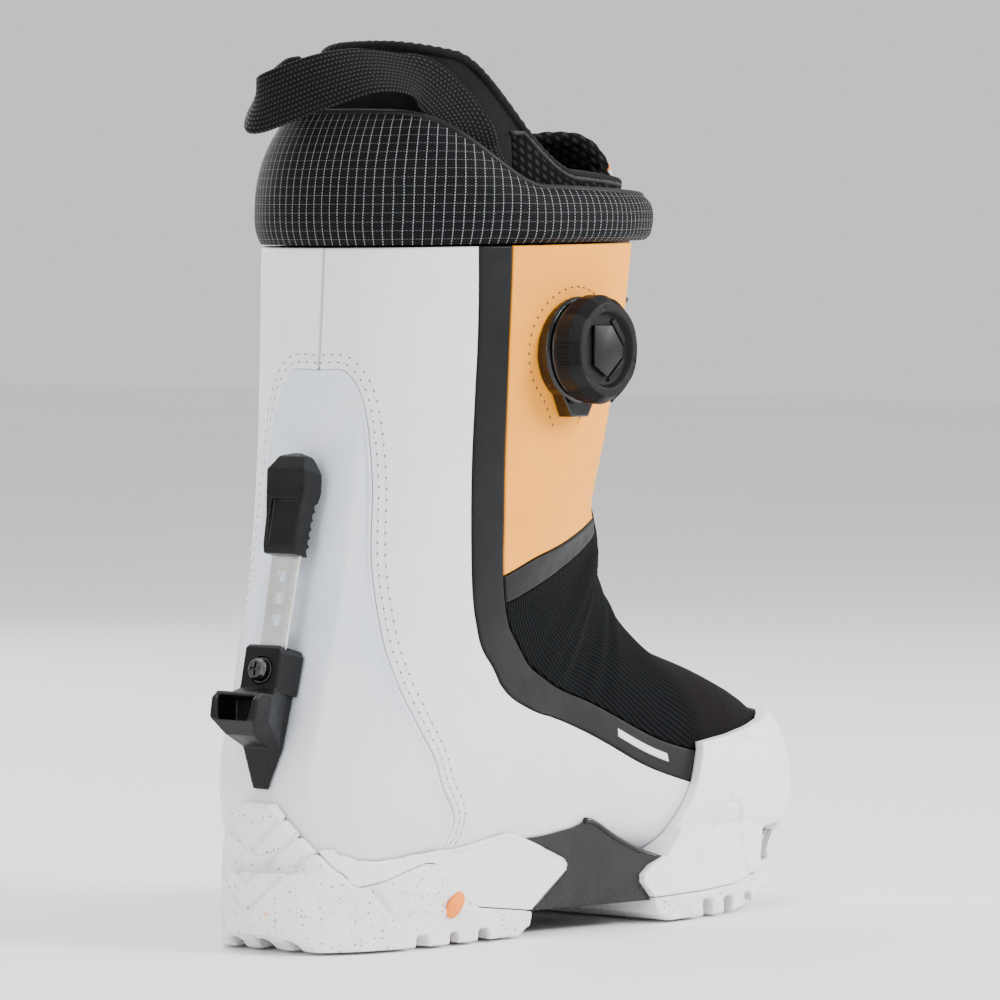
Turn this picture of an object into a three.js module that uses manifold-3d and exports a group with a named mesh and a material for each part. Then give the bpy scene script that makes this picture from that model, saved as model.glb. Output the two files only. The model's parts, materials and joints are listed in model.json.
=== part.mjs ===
// A right-foot snowboard boot with a step-in heel cleat, a dial lace closure and a removable liner.
//
// Millimetres. +X points to the toe, +Y to the inner (medial) side, +Z up. The origin is on the ground,
// at the middle of the heel tread.
//
// The upper is one smooth surface, read as a fan of closed rings: station 0 is the toe tip, station 15
// the bottom of the collar and station 18 the top of the liner. A point on it is (u, v): u counts
// stations and v is the angle round the ring in degrees, 0 at the front or top, 90 on the outer
// (lateral) side, 180 at the back or underneath. Every shell panel, the liner and the collar are cut
// from that surface, at their own depth under or over it.
import * as THREE from "three";
import { mergeVertices } from "three/addons/utils/BufferGeometryUtils.js";
import Module from "manifold-3d";

const wasm = await Module();
wasm.setup();

// ---------------------------------------------------------------- driving dimensions
const LEG_WIDTH = 134; // over the outer faces at the foot of the collar
const FOREFOOT = 108; // from the ball of the foot, at x 130, to the toe of the sole
const GAP = 0.4; // between neighbouring panels
const PANEL = 2.4; // outer ankle panels and straps
const WALL = 7; // full shell wall: outer skin, foam and lining
const TONGUE_TOP = 5.4; // depth of the tongue's outer face, which leaves a layer for the lace
const LINER_FACE = 9.6; // depth of the liner's outer face
const LINER_WALL = 6; // liner foam
const COLLAR_BULGE = 3.6;
const COLLAR_INNER = 3.8; // depth of the collar's inner face
const CAP_WALL = 4; // toe cap
const SOLE_FIT = 0.8; // between the upper and what cups it
const FOOTBED = 4.5;

const DIAL = { x: 54, z: 227, radius: 21, baseRadius: 20.4, screwRadius: 1.8 };
const LACE_RADIUS = 0.8;
const LACE_CLEARANCE = 0.5;
const CLEAT = { x: -43.6, z: 103.5, lean: 13, width: 18, thick: 13, screwRadius: 2 };
const STRIP = { width: 14, thick: 1, depth: 7.4, root: 5, top: 76, slot: [4.4, 4.2], firstSlot: 20,
  pitch: 8.5 };
const GRIP = { foot: 45, top: 84.5, inner: 4.4, outer: 13 };
const NUT = { width: 14, height: 10, thick: 1.6, depth: 3.6 };
const WEBBING = { width: 23, thick: 1.8 };
const HOOK = { x: 199, z: 25, length: 14, height: 10, proud: 4.4, margin: 2.4 };

const DEGREE = Math.PI / 180;

// The lines and stations below are drawn for a leg 134 wide and a forefoot 108 long.
const BALL = 130;
const LEG_WIDER = LEG_WIDTH / 2 - 67;
const TOE_LONGER = FOREFOOT - 108;
const stretched = (x) => (x > BALL ? x + TOE_LONGER * ((x - BALL) / 108) : x);

// ---------------------------------------------------------------- the upper's surface
// Each station: front point (x, z), back point (x, z), half width, where along the front-back line the
// ring is widest, how square its front and back halves are, and how far its middle lies to the inside.
const STATIONS = [
  [233, 46, 233, 30, 12, 0.5, 0.7, 0.6, 8],
  [232, 63, 230, 25, 36, 0.6, 0.66, 0.5, 8],
  [217, 85, 213, 23, 52, 0.62, 0.66, 0.42, 7],
  [185, 97, 183, 22, 56, 0.64, 0.68, 0.42, 4],
  [155, 107, 149, 22, 54, 0.66, 0.7, 0.42, 1],
  [138, 118, 110, 22, 50, 0.68, 0.72, 0.42, -1],
  [127, 133, 69, 22, 48, 0.66, 0.72, 0.42, -1],
  [122, 149, 28, 22, 48, 0.64, 0.72, 0.45, 0],
  [122, 163, -14, 22, 50, 0.62, 0.72, 0.5, 0],
  [123, 174, -45, 28, 51, 0.58, 0.72, 0.6, 0],
  [123, 183, -55, 55, 52, 0.54, 0.72, 0.72, 0],
  [125, 193, -46, 92, 54, 0.52, 0.72, 0.78, 0],
  [128, 206, -35, 134, 57, 0.5, 0.74, 0.8, 0],
  [132, 226, -27, 182, 61, 0.5, 0.76, 0.8, 0],
  [136, 248, -22, 226, 65, 0.5, 0.78, 0.8, 0],
  [139, 271, -19, 270, 67, 0.5, 0.8, 0.8, 0],
  [139, 290, -16, 297, 66, 0.5, 0.8, 0.8, 0],
  [136, 304, -9, 322, 61, 0.5, 0.8, 0.8, 0],
  [132, 318, -2, 350, 55, 0.5, 0.8, 0.8, 0],
].map(([xf, zf, xb, zb, half, ...rest], i) => {
  const wider = i > 10 ? LEG_WIDER : 0;
  return [stretched(xf), zf, stretched(xb), zb, half + wider, ...rest];
});
const LAST = STATIONS.length - 1;

function catmull(p0, p1, p2, p3, f) {
  const a = 2 * p1;
  const b = (p2 - p0) * f;
  const c = (2 * p0 - 5 * p1 + 4 * p2 - p3) * f * f;
  const d = (3 * p1 - p0 - 3 * p2 + p3) * f * f * f;
  return 0.5 * (a + b + c + d);
}

// Smooth values through a list of rows, read at t counted in rows.
function through(rows, t) {
  const last = rows.length - 1;
  const i = Math.min(Math.max(Math.floor(t), 0), last - 1);
  const row = (k, j) => {
    if (k < 0) return 2 * rows[0][j] - rows[1][j];
    if (k > last) return 2 * rows[last][j] - rows[last - 1][j];
    return rows[k][j];
  };
  return rows[0].map((_, j) => catmull(row(i - 1, j), row(i, j), row(i + 1, j), row(i + 2, j), t - i));
}

function skin(u, v) {
  const station = through(STATIONS, Math.min(Math.max(u, 0), LAST));
  const [xf, zf, xb, zb, half, widest, squareFront, squareBack, inward] = station;
  const c = Math.cos(v * DEGREE);
  const s = Math.sin(v * DEGREE);
  const along = c > 0 ? widest * (1 - c) : widest - (1 - widest) * c;
  const side = half * Math.sign(s) * Math.abs(s) ** (c > 0 ? squareFront : squareBack);
  return new THREE.Vector3(xf + (xb - xf) * along, inward - side, zf + (zb - zf) * along);
}

function skinNormal(u, v) {
  const du = 0.04;
  const dv = 1.5;
  const alongU = skin(Math.min(u + du, LAST), v).sub(skin(Math.max(u - du, 0), v));
  const alongV = skin(u, v + dv).sub(skin(u, v - dv));
  return alongU.cross(alongV).normalize();
}

// The point at a height over the skin; a negative height is under it.
function over(u, v, height) {
  return skin(u, v).addScaledVector(skinNormal(u, v), height);
}

// The skin's point on the outer side at a given x and z, as (u, v).
function sideOfSkin(x, z) {
  let best = null;
  for (let u = 4; u < 16; u += 0.05) {
    for (let v = 40; v < 140; v += 1) {
      const p = skin(u, v);
      const far = Math.hypot(p.x - x, p.z - z);
      if (!best || far < best.far) best = { far, u, v };
    }
  }
  return best;
}

// ---------------------------------------------------------------- mesh and solid helpers
function geometry(points, triangles) {
  const made = new THREE.BufferGeometry();
  made.setAttribute("position", new THREE.Float32BufferAttribute(points.flatMap((p) => [p.x, p.y, p.z]), 3));
  made.setIndex(triangles.flat());
  return made;
}

function toManifold(shape) {
  const bare = shape.clone();
  bare.deleteAttribute("normal");
  bare.deleteAttribute("uv");
  const merged = mergeVertices(bare, 1e-4);
  const mesh = { numProp: 3 };
  mesh.vertProperties = new Float32Array(merged.attributes.position.array);
  mesh.triVerts = new Uint32Array(merged.index.array);
  const solid = new wasm.Manifold(new wasm.Mesh(mesh));
  if (solid.volume() > 0) return solid;
  for (let i = 0; i < mesh.triVerts.length; i += 3) {
    [mesh.triVerts[i + 1], mesh.triVerts[i + 2]] = [mesh.triVerts[i + 2], mesh.triVerts[i + 1]];
  }
  return new wasm.Manifold(new wasm.Mesh(mesh));
}

function toGeometry(solid) {
  const mesh = solid.getMesh();
  const made = new THREE.BufferGeometry();
  made.setAttribute("position", new THREE.BufferAttribute(new Float32Array(mesh.vertProperties), 3));
  made.setIndex([...mesh.triVerts]);
  return made;
}

function joined(...shapes) {
  return toGeometry(shapes.map(toManifold).reduce((a, b) => a.add(b)));
}

function cut(shape, ...tools) {
  return toGeometry(tools.map(toManifold).reduce((a, b) => a.subtract(b), toManifold(shape)));
}

function common(...shapes) {
  return toGeometry(shapes.map(toManifold).reduce((a, b) => a.intersect(b)));
}

function largest(shape) {
  const bodies = toManifold(shape).decompose();
  return toGeometry(bodies.reduce((a, b) => (a.volume() > b.volume() ? a : b)));
}

function outward(shape) {
  return toGeometry(toManifold(shape));
}

function box(x0, x1, y0, y1, z0, z1) {
  const made = new THREE.BoxGeometry(x1 - x0, y1 - y0, z1 - z0);
  return made.translate((x0 + x1) / 2, (y0 + y1) / 2, (z0 + z1) / 2);
}

// A closed solid between two grids of points, grid[row][column], that lie face to face.
function slab(outer, inner) {
  const rows = outer.length;
  const columns = outer[0].length;
  const points = [...outer.flat(), ...inner.flat()];
  const top = (i, j) => i * columns + j;
  const low = (i, j) => rows * columns + top(i, j);
  const triangles = [];
  const quad = (a, b, c, d) => triangles.push([a, b, c], [a, c, d]);
  for (let i = 0; i < rows - 1; i++) {
    for (let j = 0; j < columns - 1; j++) {
      quad(top(i, j), top(i + 1, j), top(i + 1, j + 1), top(i, j + 1));
      quad(low(i, j), low(i, j + 1), low(i + 1, j + 1), low(i + 1, j));
    }
    quad(top(i, 0), low(i, 0), low(i + 1, 0), top(i + 1, 0));
    quad(top(i, columns - 1), top(i + 1, columns - 1), low(i + 1, columns - 1), low(i, columns - 1));
  }
  for (let j = 0; j < columns - 1; j++) {
    quad(top(0, j), top(0, j + 1), low(0, j + 1), low(0, j));
    quad(top(rows - 1, j), low(rows - 1, j), low(rows - 1, j + 1), top(rows - 1, j + 1));
  }
  return outward(geometry(points, triangles));
}

// A closed solid through rings of points, with a fan over each end, or joined end to end.
function loft(rings, endToEnd = false) {
  const n = rings[0].length;
  const points = rings.flat();
  const triangles = [];
  const spans = endToEnd ? rings.length : rings.length - 1;
  for (let i = 0; i < spans; i++) {
    for (let j = 0; j < n; j++) {
      const a = i * n + j;
      const b = i * n + ((j + 1) % n);
      const c = ((i + 1) % rings.length) * n + ((j + 1) % n);
      const d = ((i + 1) % rings.length) * n + j;
      triangles.push([a, b, c], [a, c, d]);
    }
  }
  if (!endToEnd) {
    [0, rings.length - 1].forEach((i, last) => {
      const middle = new THREE.Vector3();
      rings[i].forEach((p) => middle.addScaledVector(p, 1 / n));
      points.push(middle);
      for (let j = 0; j < n; j++) {
        const a = i * n + j;
        const b = i * n + ((j + 1) % n);
        triangles.push(last ? [points.length - 1, a, b] : [points.length - 1, b, a]);
      }
    });
  }
  return outward(geometry(points, triangles));
}

function extruded(outline, depth) {
  const shape = new THREE.Shape(outline.map(([x, y]) => new THREE.Vector2(x, y)));
  return new THREE.ExtrudeGeometry(shape, { depth, bevelEnabled: false, steps: 1 });
}

// A side-view outline (x, z), extruded along Y from y0 to y1.
function sideCut(outline, y0 = -90, y1 = 90) {
  return extruded(outline, y1 - y0).rotateX(90 * DEGREE).translate(0, y1, 0);
}

// A plan outline (x, y), extruded from z0 to z1.
function planCut(outline, z0, z1) {
  return extruded(outline, z1 - z0).translate(0, 0, z0);
}

function turned(profile, segments = 28) {
  return new THREE.LatheGeometry(profile.map(([r, h]) => new THREE.Vector2(r, h)), segments);
}

// ---------------------------------------------------------------- edges of the panels, as (u, v)
const COLLAR_LINE = 14.9;
const FEATHER = 152; // v of the line where the upper meets the lasting board
const CAP_LINE = 3.85; // u of the quarters' front end, under the toe cap
const PER_KEY = 2; // samples between two of an edge's points
const TOE_SAMPLES = [3.75, 3.2, 2.6, 2.1, 1.7, 1.35, 1.05, 0.8]; // u along the toe's feather line

// A smooth edge through its points. A point given twice is a corner.
function edge(...keys) {
  const made = [];
  for (let k = 0; k < keys.length - 1; k++) {
    if (keys[k][0] === keys[k + 1][0] && keys[k][1] === keys[k + 1][1]) continue;
    for (let i = 0; i < PER_KEY; i++) made.push(through(keys, k + i / PER_KEY));
  }
  made.push(keys[keys.length - 1]);
  return made;
}

const mirrored = (line) => line.map(([u, v]) => [u, 360 - v]);
const lineBetween = (a, b, n) =>
  Array.from({ length: n + 1 }, (_, i) => [0, 1].map((k) => a[k] + ((b[k] - a[k]) * i) / n));

// From the back seam over the spine window's edge, then along the feather line to the toe cap.
const WINDOW_TOP = 13.85;
const seamAndWindow = edge(
  [COLLAR_LINE, 180],
  [WINDOW_TOP, 180],
  [WINDOW_TOP, 180],
  [WINDOW_TOP - 0.02, 172],
  [13.55, 165],
  [12.9, 159],
  [12.2, 155],
  [11.5, 146],
  [10.9, 136],
  [10.1, 123],
  [9.2, 116],
  [8.2, 123],
  [7.8, FEATHER],
  [7.8, FEATHER],
  [6.5, FEATHER],
  [5.2, FEATHER],
  [CAP_LINE, FEATHER],
);
const WINDOW_START = PER_KEY; // sample of seamAndWindow at the window's top middle
const WINDOW_END = 11 * PER_KEY; // sample where it reaches the feather line
const bandBack = edge(
  [COLLAR_LINE, 130],
  [14.3, 128.5],
  [14.3, 128.5],
  [13.9, 127.5],
  [13.4, 126],
  [12.7, 123],
  [11.95, 118],
  [11.3, 112],
  [10.6, 104],
  [9.84, 94],
  [9.2, 88],
  [8.5, 84],
  [7.5, 81],
  [7.5, 81],
  [6.2, 80],
  [5, 83],
  [CAP_LINE, 90],
);
const bandFront = edge(
  [COLLAR_LINE, 119],
  [14.3, 118],
  [14.3, 118],
  [13.9, 117],
  [13.4, 115],
  [12.6, 111],
  [11.8, 105.5],
  [11.3, 101],
  [10.8, 96],
  [10.0, 87],
  [9.3, 81],
  [8.4, 76.5],
  [7.2, 74],
  [7.2, 74],
  [6.3, 72],
  [5.2, 72],
  [CAP_LINE, 76],
);
const PANEL_END = 6 * PER_KEY; // sample of bandFront at the ankle panel's lower corner
const STRAP_END = 7 * PER_KEY; // sample at the strap's lower corner
const panelFoot = edge([11.3, 101], [11.05, 84], [10.5, 65], [9.85, 49], [9.3, 38]);
const strapFoot = edge([10.8, 96], [10.5, 83], [10.0, 67], [9.4, 52], [8.6, 36]);
const panelFront = edge([COLLAR_LINE, 64], [13.9, 63], [12.6, 59], [11.2, 52], [9.3, 38]);
const vampTop = [...strapFoot, ...lineBetween([8.6, 36], [8.6, -36], 5).slice(1, -1),
  ...strapFoot.map(([u, v]) => [u, -v]).reverse()];

// ---------------------------------------------------------------- panels cut from the skin
// A patch of skin between two edges with as many samples each, drawn in by GAP all round. Optional
// ends replace the straight first and last row. Heights are over the skin.
function patch({ left, right, columns, top, bottom, outer = 0, inner = -WALL, gap = GAP / 2 }) {
  const rows = left.length;
  const mix = (a, b, s) => [a[0] + (b[0] - a[0]) * s, a[1] + (b[1] - a[1]) * s];
  const at = (line, s) => through(line, s * (line.length - 1));
  const grid = left.map((_, i) =>
    Array.from({ length: columns + 1 }, (_, j) => {
      const s = j / columns;
      const t = i / (rows - 1);
      const point = mix(left[i], right[i], s);
      if (top) {
        const straight = mix(left[0], right[0], s);
        const bent = at(top, s);
        [0, 1].forEach((k) => (point[k] += (bent[k] - straight[k]) * (1 - t)));
      }
      if (bottom) {
        const straight = mix(left[rows - 1], right[rows - 1], s);
        const bent = at(bottom, s);
        [0, 1].forEach((k) => (point[k] += (bent[k] - straight[k]) * t));
      }
      return point;
    }),
  );
  // Each border sample moves towards its inner neighbour by the gap.
  const inset = (a, b) => {
    const span = skin(...a).distanceTo(skin(...b));
    return mix(a, b, Math.min(0.45, gap / Math.max(span, 1e-6)));
  };
  const narrowed = grid.map((row) => {
    const made = row.slice();
    made[0] = inset(row[0], row[1]);
    made[columns] = inset(row[columns], row[columns - 1]);
    return made;
  });
  const ends = (a, b) => narrowed[a].map((p, j) => inset(p, narrowed[b][j]));
  const first = ends(0, 1);
  const last = ends(rows - 1, rows - 2);
  narrowed[0] = first;
  narrowed[rows - 1] = last;
  const face = (height) => narrowed.map((row) => row.map(([u, v]) => over(u, v, height)));
  return slab(face(outer), face(inner));
}

// A closed solid inside the skin drawn out or in by a height, between two stations.
// Its rings are closer together round the heel.
function envelope(height, from, to, around = 36) {
  const rings = [];
  for (let u = from; u < to + 0.01; u += u >= 7.5 && u < 10.5 ? 0.25 : 0.5) {
    rings.push(Array.from({ length: around }, (_, j) => over(u, (j * 360) / around, height)));
  }
  return loft(rings);
}

function bothSides(name, colour, make) {
  return [
    part(name + "_lateral", colour, make((line) => line)),
    part(name + "_medial", colour, make(mirrored)),
  ];
}

// ---------------------------------------------------------------- materials
const FINISH = {
  white_leather: [0xe9eaee, 0.5, 0],
  spine: [0xd3d9e3, 0.35, 0],
  black_trim: [0x2b2d2e, 0.5, 0],
  apricot: [0xffc98a, 0.55, 0],
  knit: [0x17191b, 0.95, 0],
  ripstop: [0x1c1e1f, 0.9, 0],
  webbing: [0x161616, 0.9, 0],
  liner: [0x1d1d1d, 0.85, 0],
  white_rubber: [0xeeeae6, 0.7, 0],
  midsole: [0xf0f1f4, 0.6, 0],
  shank: [0x3b3d3f, 0.2, 0],
  black_plastic: [0x1a1b1c, 0.4, 0],
  steel: [0xc9c6c0, 0.3, 1],
  board: [0x9a9a96, 0.9, 0],
  lace: [0x222222, 0.6, 0],
};

function part(name, finish, shape) {
  const [color, roughness, metalness] = FINISH[finish];
  const mesh = new THREE.Mesh(shape, new THREE.MeshStandardMaterial({ color, roughness, metalness }));
  mesh.name = name;
  return mesh;
}

// ---------------------------------------------------------------- shell upper
const UPPER_TOP = 14.5;

function quarters() {
  return bothSides("quarter", "white_leather", (side) =>
    patch({ left: side(seamAndWindow), right: side(bandBack), columns: 6 }),
  );
}

const heelFoot = edge([7.8, FEATHER], [8.3, 160], [8.6, 170], [8.7, 180], [8.6, 190], [8.3, 200],
  [7.8, 360 - FEATHER]);

// The spine is moulded round the cleat's screw, with a seat for its nut plate in the inner face.
function spine() {
  const left = seamAndWindow.slice(WINDOW_START + 2, WINDOW_END + 1);
  const shape = patch({ left, right: mirrored(left), columns: 12, bottom: heelFoot, top: windowTop() });
  return part("heel_spine", "spine", cut(shape, onCleat(screwBore()), onCleat(nutBox(0.3, 12))));
}

// The spine's own first row follows the window's rounded top.
function windowTop() {
  const half = seamAndWindow.slice(WINDOW_START, WINDOW_START + 3);
  return [...half.slice().reverse(), ...mirrored(half).slice(1)];
}

function bands() {
  return bothSides("eyestay_band", "black_trim", (side) =>
    patch({ left: side(bandBack), right: side(bandFront), columns: 1, outer: 0.3 }),
  );
}

function anklePanels() {
  const left = bandFront.slice(0, PANEL_END + 1);
  const right = left.map((_, i) => through(panelFront, (i / PANEL_END) * (panelFront.length - 1)));
  return bothSides("ankle_panel", "apricot", (side) =>
    largest(cut(patch({ left: side(left), right: side(right), columns: 6, bottom: side(panelFoot),
      inner: -PANEL }), laceTunnel())),
  );
}

function ankleStraps() {
  return bothSides("ankle_strap", "black_trim", (side) =>
    patch({ left: side(panelFoot), right: side(strapFoot), columns: 1, outer: 0.3, inner: -PANEL }),
  );
}

const toeFeather = TOE_SAMPLES.map((u) => [u, FEATHER]);
const across = (line) => line.map(([u, v]) => [u, -v]);

function vamp() {
  const side = [
    ...bandFront.slice(STRAP_END),
    ...lineBetween([CAP_LINE, 76], toeFeather[0], 4).slice(1, -1),
    ...toeFeather,
    [0.45, FEATHER],
    [0.15, FEATHER],
  ];
  const columns = vampTop.length - 1;
  return part("vamp", "knit", patch({ left: side, right: across(side), columns, top: vampTop }));
}

function shellTongue() {
  const side = bandFront.slice(0, STRAP_END + 1);
  const top = edge([COLLAR_LINE, 119], [COLLAR_LINE, 80], [15.7, 40], [15.9, 0], [15.7, -40],
    [COLLAR_LINE, -80], [COLLAR_LINE, -119]);
  return part("shell_tongue", "black_trim", patch({ left: side, right: across(side),
    columns: vampTop.length - 1, top, bottom: vampTop, outer: -TONGUE_TOP }));
}

function lastingBoard() {
  const side = [...back(toeFeather.slice(0, -3)), ...back(seamAndWindow.slice(WINDOW_END, -1))];
  return part("lasting_board", "board", patch({ left: side, right: mirrored(side), columns: 12,
    bottom: lifted(heelFoot, -0.1) }));
}

const collarTop = (v) => {
  const back = Math.cos((180 - v) * DEGREE); // 1 at the back, -1 at the front
  return 15.75 + 1.1 * THREE.MathUtils.smoothstep(back, 0.3, 0.95);
};

function collarRing() {
  const around = 44;
  const rings = Array.from({ length: around }, (_, j) => {
    const v = (j * 360) / around;
    const top = collarTop(v);
    const at = (share, height) => over(COLLAR_LINE + 0.03 + (top - COLLAR_LINE) * share, v, height);
    return [
      at(0, 0.2), at(0.12, COLLAR_BULGE * 0.8), at(0.45, COLLAR_BULGE), at(0.8, COLLAR_BULGE * 0.5),
      at(0.97, -0.2), at(1, -1.4), at(0.95, -2.8), at(0.5, -COLLAR_INNER), at(0.03, -COLLAR_INNER - 0.4),
    ];
  });
  return loft(rings, true);
}

// ---------------------------------------------------------------- liner
const THROAT = 30; // half angle of the liner's front opening
const THROAT_FOOT = 9.6;

function linerRim(v) {
  const back = Math.cos((180 - v) * DEGREE);
  return 16.1 + 1.75 * THREE.MathUtils.smoothstep(back, -0.05, 0.75);
}

function linerRings(face, from, rim, around) {
  const stations = [from, 0.9, 1.4, 2, 3, 4, 5, 6, 7, 7.6, 8.2, 8.8, 9.4, 10, 10.7, 11.5, 12.5, 13.5, 14.5]
    .filter((u, i) => i === 0 || u > from + 0.3);
  const rings = stations.map((u) =>
    Array.from({ length: around }, (_, j) => face(u, (j * 360) / around)),
  );
  [1 / 3, 2 / 3, 1].forEach((share) => {
    rings.push(Array.from({ length: around }, (_, j) => {
      const v = (j * 360) / around;
      return face(14.5 + (rim(v) - 14.5) * share, v);
    }));
  });
  return rings;
}

// A ring drawn in within its own plane, which stays sound where the skin curves tightly.
function within(u, v, depth) {
  const p = skin(u, v);
  const front = skin(u, 0);
  const back = skin(u, 180);
  const middle = front.clone().add(back).multiplyScalar(0.5);
  const half = front.distanceTo(back) / 2;
  const wide = skin(u, 90).distanceTo(skin(u, 270)) / 2;
  const line = back.clone().sub(front).normalize();
  const along = p.clone().sub(middle).dot(line);
  const side = p.y - middle.y;
  const shrink = Math.max(0.2, (half - depth) / half);
  const narrow = Math.max(0.2, (wide - depth) / wide);
  return middle.clone().addScaledVector(line, along * shrink).setY(middle.y + side * narrow);
}

const CAVITY = LINER_FACE + LINER_WALL;
const LINER_SEAMS = { z: 150, x: 98 }; // where its cuff, heel and toe panels are stitched together
const LINER_TOE = 0.35;
const CAVITY_TOE = 1.9;

function linerSolid() {
  const around = 28;
  const outer = loft(linerRings((u, v) => over(u, v, -LINER_FACE), LINER_TOE, linerRim, around));
  const hollow = linerRings((u, v) => within(u, v, CAVITY), CAVITY_TOE, (v) => linerRim(v) + 0.02, around);
  const above = hollow[hollow.length - 1].map((p) => p.clone().add(new THREE.Vector3(2, 0, 20)));
  return cut(outer, loft([...hollow, above]));
}

function throat(gap) {
  const wide = THROAT + gap;
  const foot = THROAT_FOOT - gap * 0.03;
  const side = lineBetween([18, wide], [foot, wide], 8);
  return patch({ left: side, right: side.map(([u, v]) => [u, -v]), columns: 8,
    outer: -LINER_FACE + gap, inner: -LINER_FACE - LINER_WALL - 6 * gap, gap: 0 });
}

function liner() {
  const opening = throat(0.5);
  const tongueTop = edge([16.5, THROAT], [17.4, 14], [17.6, 0], [17.4, -14], [16.5, -THROAT]);
  const side = lineBetween([16.5, THROAT], [THROAT_FOOT, THROAT], 8);
  const tongue = patch({ left: side, right: side.map(([u, v]) => [u, -v]), columns: 8, top: tongueTop,
    outer: -LINER_FACE, inner: -LINER_FACE - LINER_WALL });
  const whole = largest(cut(linerSolid(), opening));
  const { z, x } = LINER_SEAMS;
  const half = GAP / 2;
  return [
    part("liner_cuff", "liner", largest(common(whole, box(-90, 260, -90, 90, z + half, 400)))),
    part("liner_heel", "liner", largest(common(whole, box(-90, x - half, -90, 90, 0, z - half)))),
    part("liner_toe", "liner", largest(common(whole, box(x + half, 260, -90, 90, 0, z - half)))),
    part("liner_tongue", "liner", tongue),
  ];
}

function footbed() {
  const rings = linerRings((u, v) => within(u, v, CAVITY + 0.6), CAVITY_TOE + 0.1, linerRim, 28);
  const floor = 22 + CAVITY;
  const shape = largest(common(loft(rings.slice(0, 12)), box(-80, 260, -80, 80, 0, floor + FOOTBED)));
  return part("footbed", "board", shape);
}

// ---------------------------------------------------------------- pull loop
// The webbing's middle line: each end lies between collar and liner (u, v), then the free part goes
// over the collar and round behind it. A free point is x, y, z and how far the webbing's upright
// edge leans in x and y for each unit of height.
const LOOP_TUCK = [[15.9, 127], [16.35, 131.5], [16.85, 136]];
const LOOP_FREE = [[4, -33, 328, 0.2, 0.2], [-7, -29.5, 332, 0.1, 0.8], [-22, -24, 333, 0, 0.9],
  [-35, -13, 329, -0.1, 0.5], [-42, 3, 323, -0.1, 0], [-39, 17, 320, -0.1, -0.5], [-26, 25, 326, 0, -0.8],
  [-11, 29.5, 331, 0.1, -0.8], [2, 33, 328, 0.2, -0.2]];
const LOOP_DEPTH = (COLLAR_INNER + LINER_FACE) / 2;

function loopEnd(sign) {
  return LOOP_TUCK.map(([u, v]) => ({
    at: over(u, sign * v, -LOOP_DEPTH),
    up: skin(u + 0.3, sign * v).sub(skin(u - 0.3, sign * v)).normalize(),
  }));
}

function pullLoop() {
  const free = LOOP_FREE.map(([x, y, z, leanX, leanY]) => ({
    at: new THREE.Vector3(x, y, z),
    up: new THREE.Vector3(leanX, leanY, 1).normalize(),
  }));
  const controls = [...loopEnd(1), ...free, ...loopEnd(-1).reverse()];
  const line = new THREE.CatmullRomCurve3(controls.map(({ at }) => at));
  const upright = new THREE.CatmullRomCurve3(controls.map(({ up }) => up));
  const steps = 34;
  const rings = [];
  for (let i = 0; i <= steps; i++) {
    const middle = line.getPoint(i / steps);
    const ahead = line.getTangent(i / steps);
    const wide = upright.getPoint(i / steps);
    wide.addScaledVector(ahead, -wide.dot(ahead)).normalize();
    const halfThick = wide.clone().cross(ahead).normalize().multiplyScalar(WEBBING.thick / 2);
    const halfWide = wide.multiplyScalar(WEBBING.width / 2);
    const corner = (a, b) => middle.clone().addScaledVector(halfWide, a).addScaledVector(halfThick, b);
    rings.push([corner(-1, -1), corner(1, -1), corner(1, 1), corner(-1, 1)]);
  }
  return loft(rings);
}

// ---------------------------------------------------------------- sole unit
// Half widths of the sole to the outer and inner side at stations along its length.
const SOLE_PLAN = new THREE.SplineCurve([
  [-62, 0], [-60, -11], [-54, -21], [-44, -30], [-30, -37], [-8, -42.5], [30, -45], [66, -48], [96, -53],
  [130, -58], [170, -57], [205, -47], [229, -24], [238, 8], [230, 38], [205, 57], [170, 62], [130, 58],
  [80, 45], [40, 41], [-8, 41], [-30, 37], [-44, 30], [-54, 21], [-60, 11], [-62, 0],
].map(([x, y]) => new THREE.Vector2(stretched(x), y)));

function solePlan(inset = 0) {
  const count = 48;
  const points = Array.from({ length: count }, (_, i) => SOLE_PLAN.getPoint(i / count));
  return points.map((p, i) => {
    const along = points[(i + 1) % count].clone().sub(points[(i + count - 1) % count]).normalize();
    return [p.x - along.y * inset, p.y + along.x * inset];
  });
}

// Side-view lines (x, z) between the sole's pieces.
const longer = (line) => line.map(([x, z]) => [stretched(x), z]);
const heelLine = [[-80, 57], [-41, 57], [-41, 26], [-36, 24], [-28, 25.3], [-15.5, 29.4], [-7, 31.5],
  [-2, 31], [3, 26.5], [13, 16.5], [22, 12.5], [51, 9]];
const heelRear = [[32, 26], [27, 31.6], [23, 38], [13.4, 49.7], [8, 56]];
const midsoleTop = [[-52, 38.5], [-42, 39.5], [-31.5, 41], [-8, 44.5], [6, 45.2], [25, 43.5], [43, 39],
  [58, 33.5], [70.5, 28]];
const wedge = [[72, 26], [71.5, 23.5], [52.5, 9.4]];
const shankTop = [[47, 38], [56, 40.5], [64, 42], [74, 43.2], [82, 43], [88, 41.5], [99, 35], [114.6, 28.3]];
const capRear = [[148.5, 66], [146, 60], [144, 54], [140, 47], [136, 41], [131, 33], [124, 25.5], [116, 22.5],
  [111.5, 19], [111.5, 16], [117, 9.8]];
const capTop = longer([[149, 69], [171, 71], [192, 73.5], [215, 77], [250, 81]]);
const treadTop = longer([[117, 9.3], [150, 10], [170, 11], [190, 14], [208, 18], [226, 26], [250, 42]]);
const treadFoot = longer([[250, 33], [240, 26], [224, 15], [205, 7], [184, 2.5], [166, 0], [124, 0],
  [118, 3]]);

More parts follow.
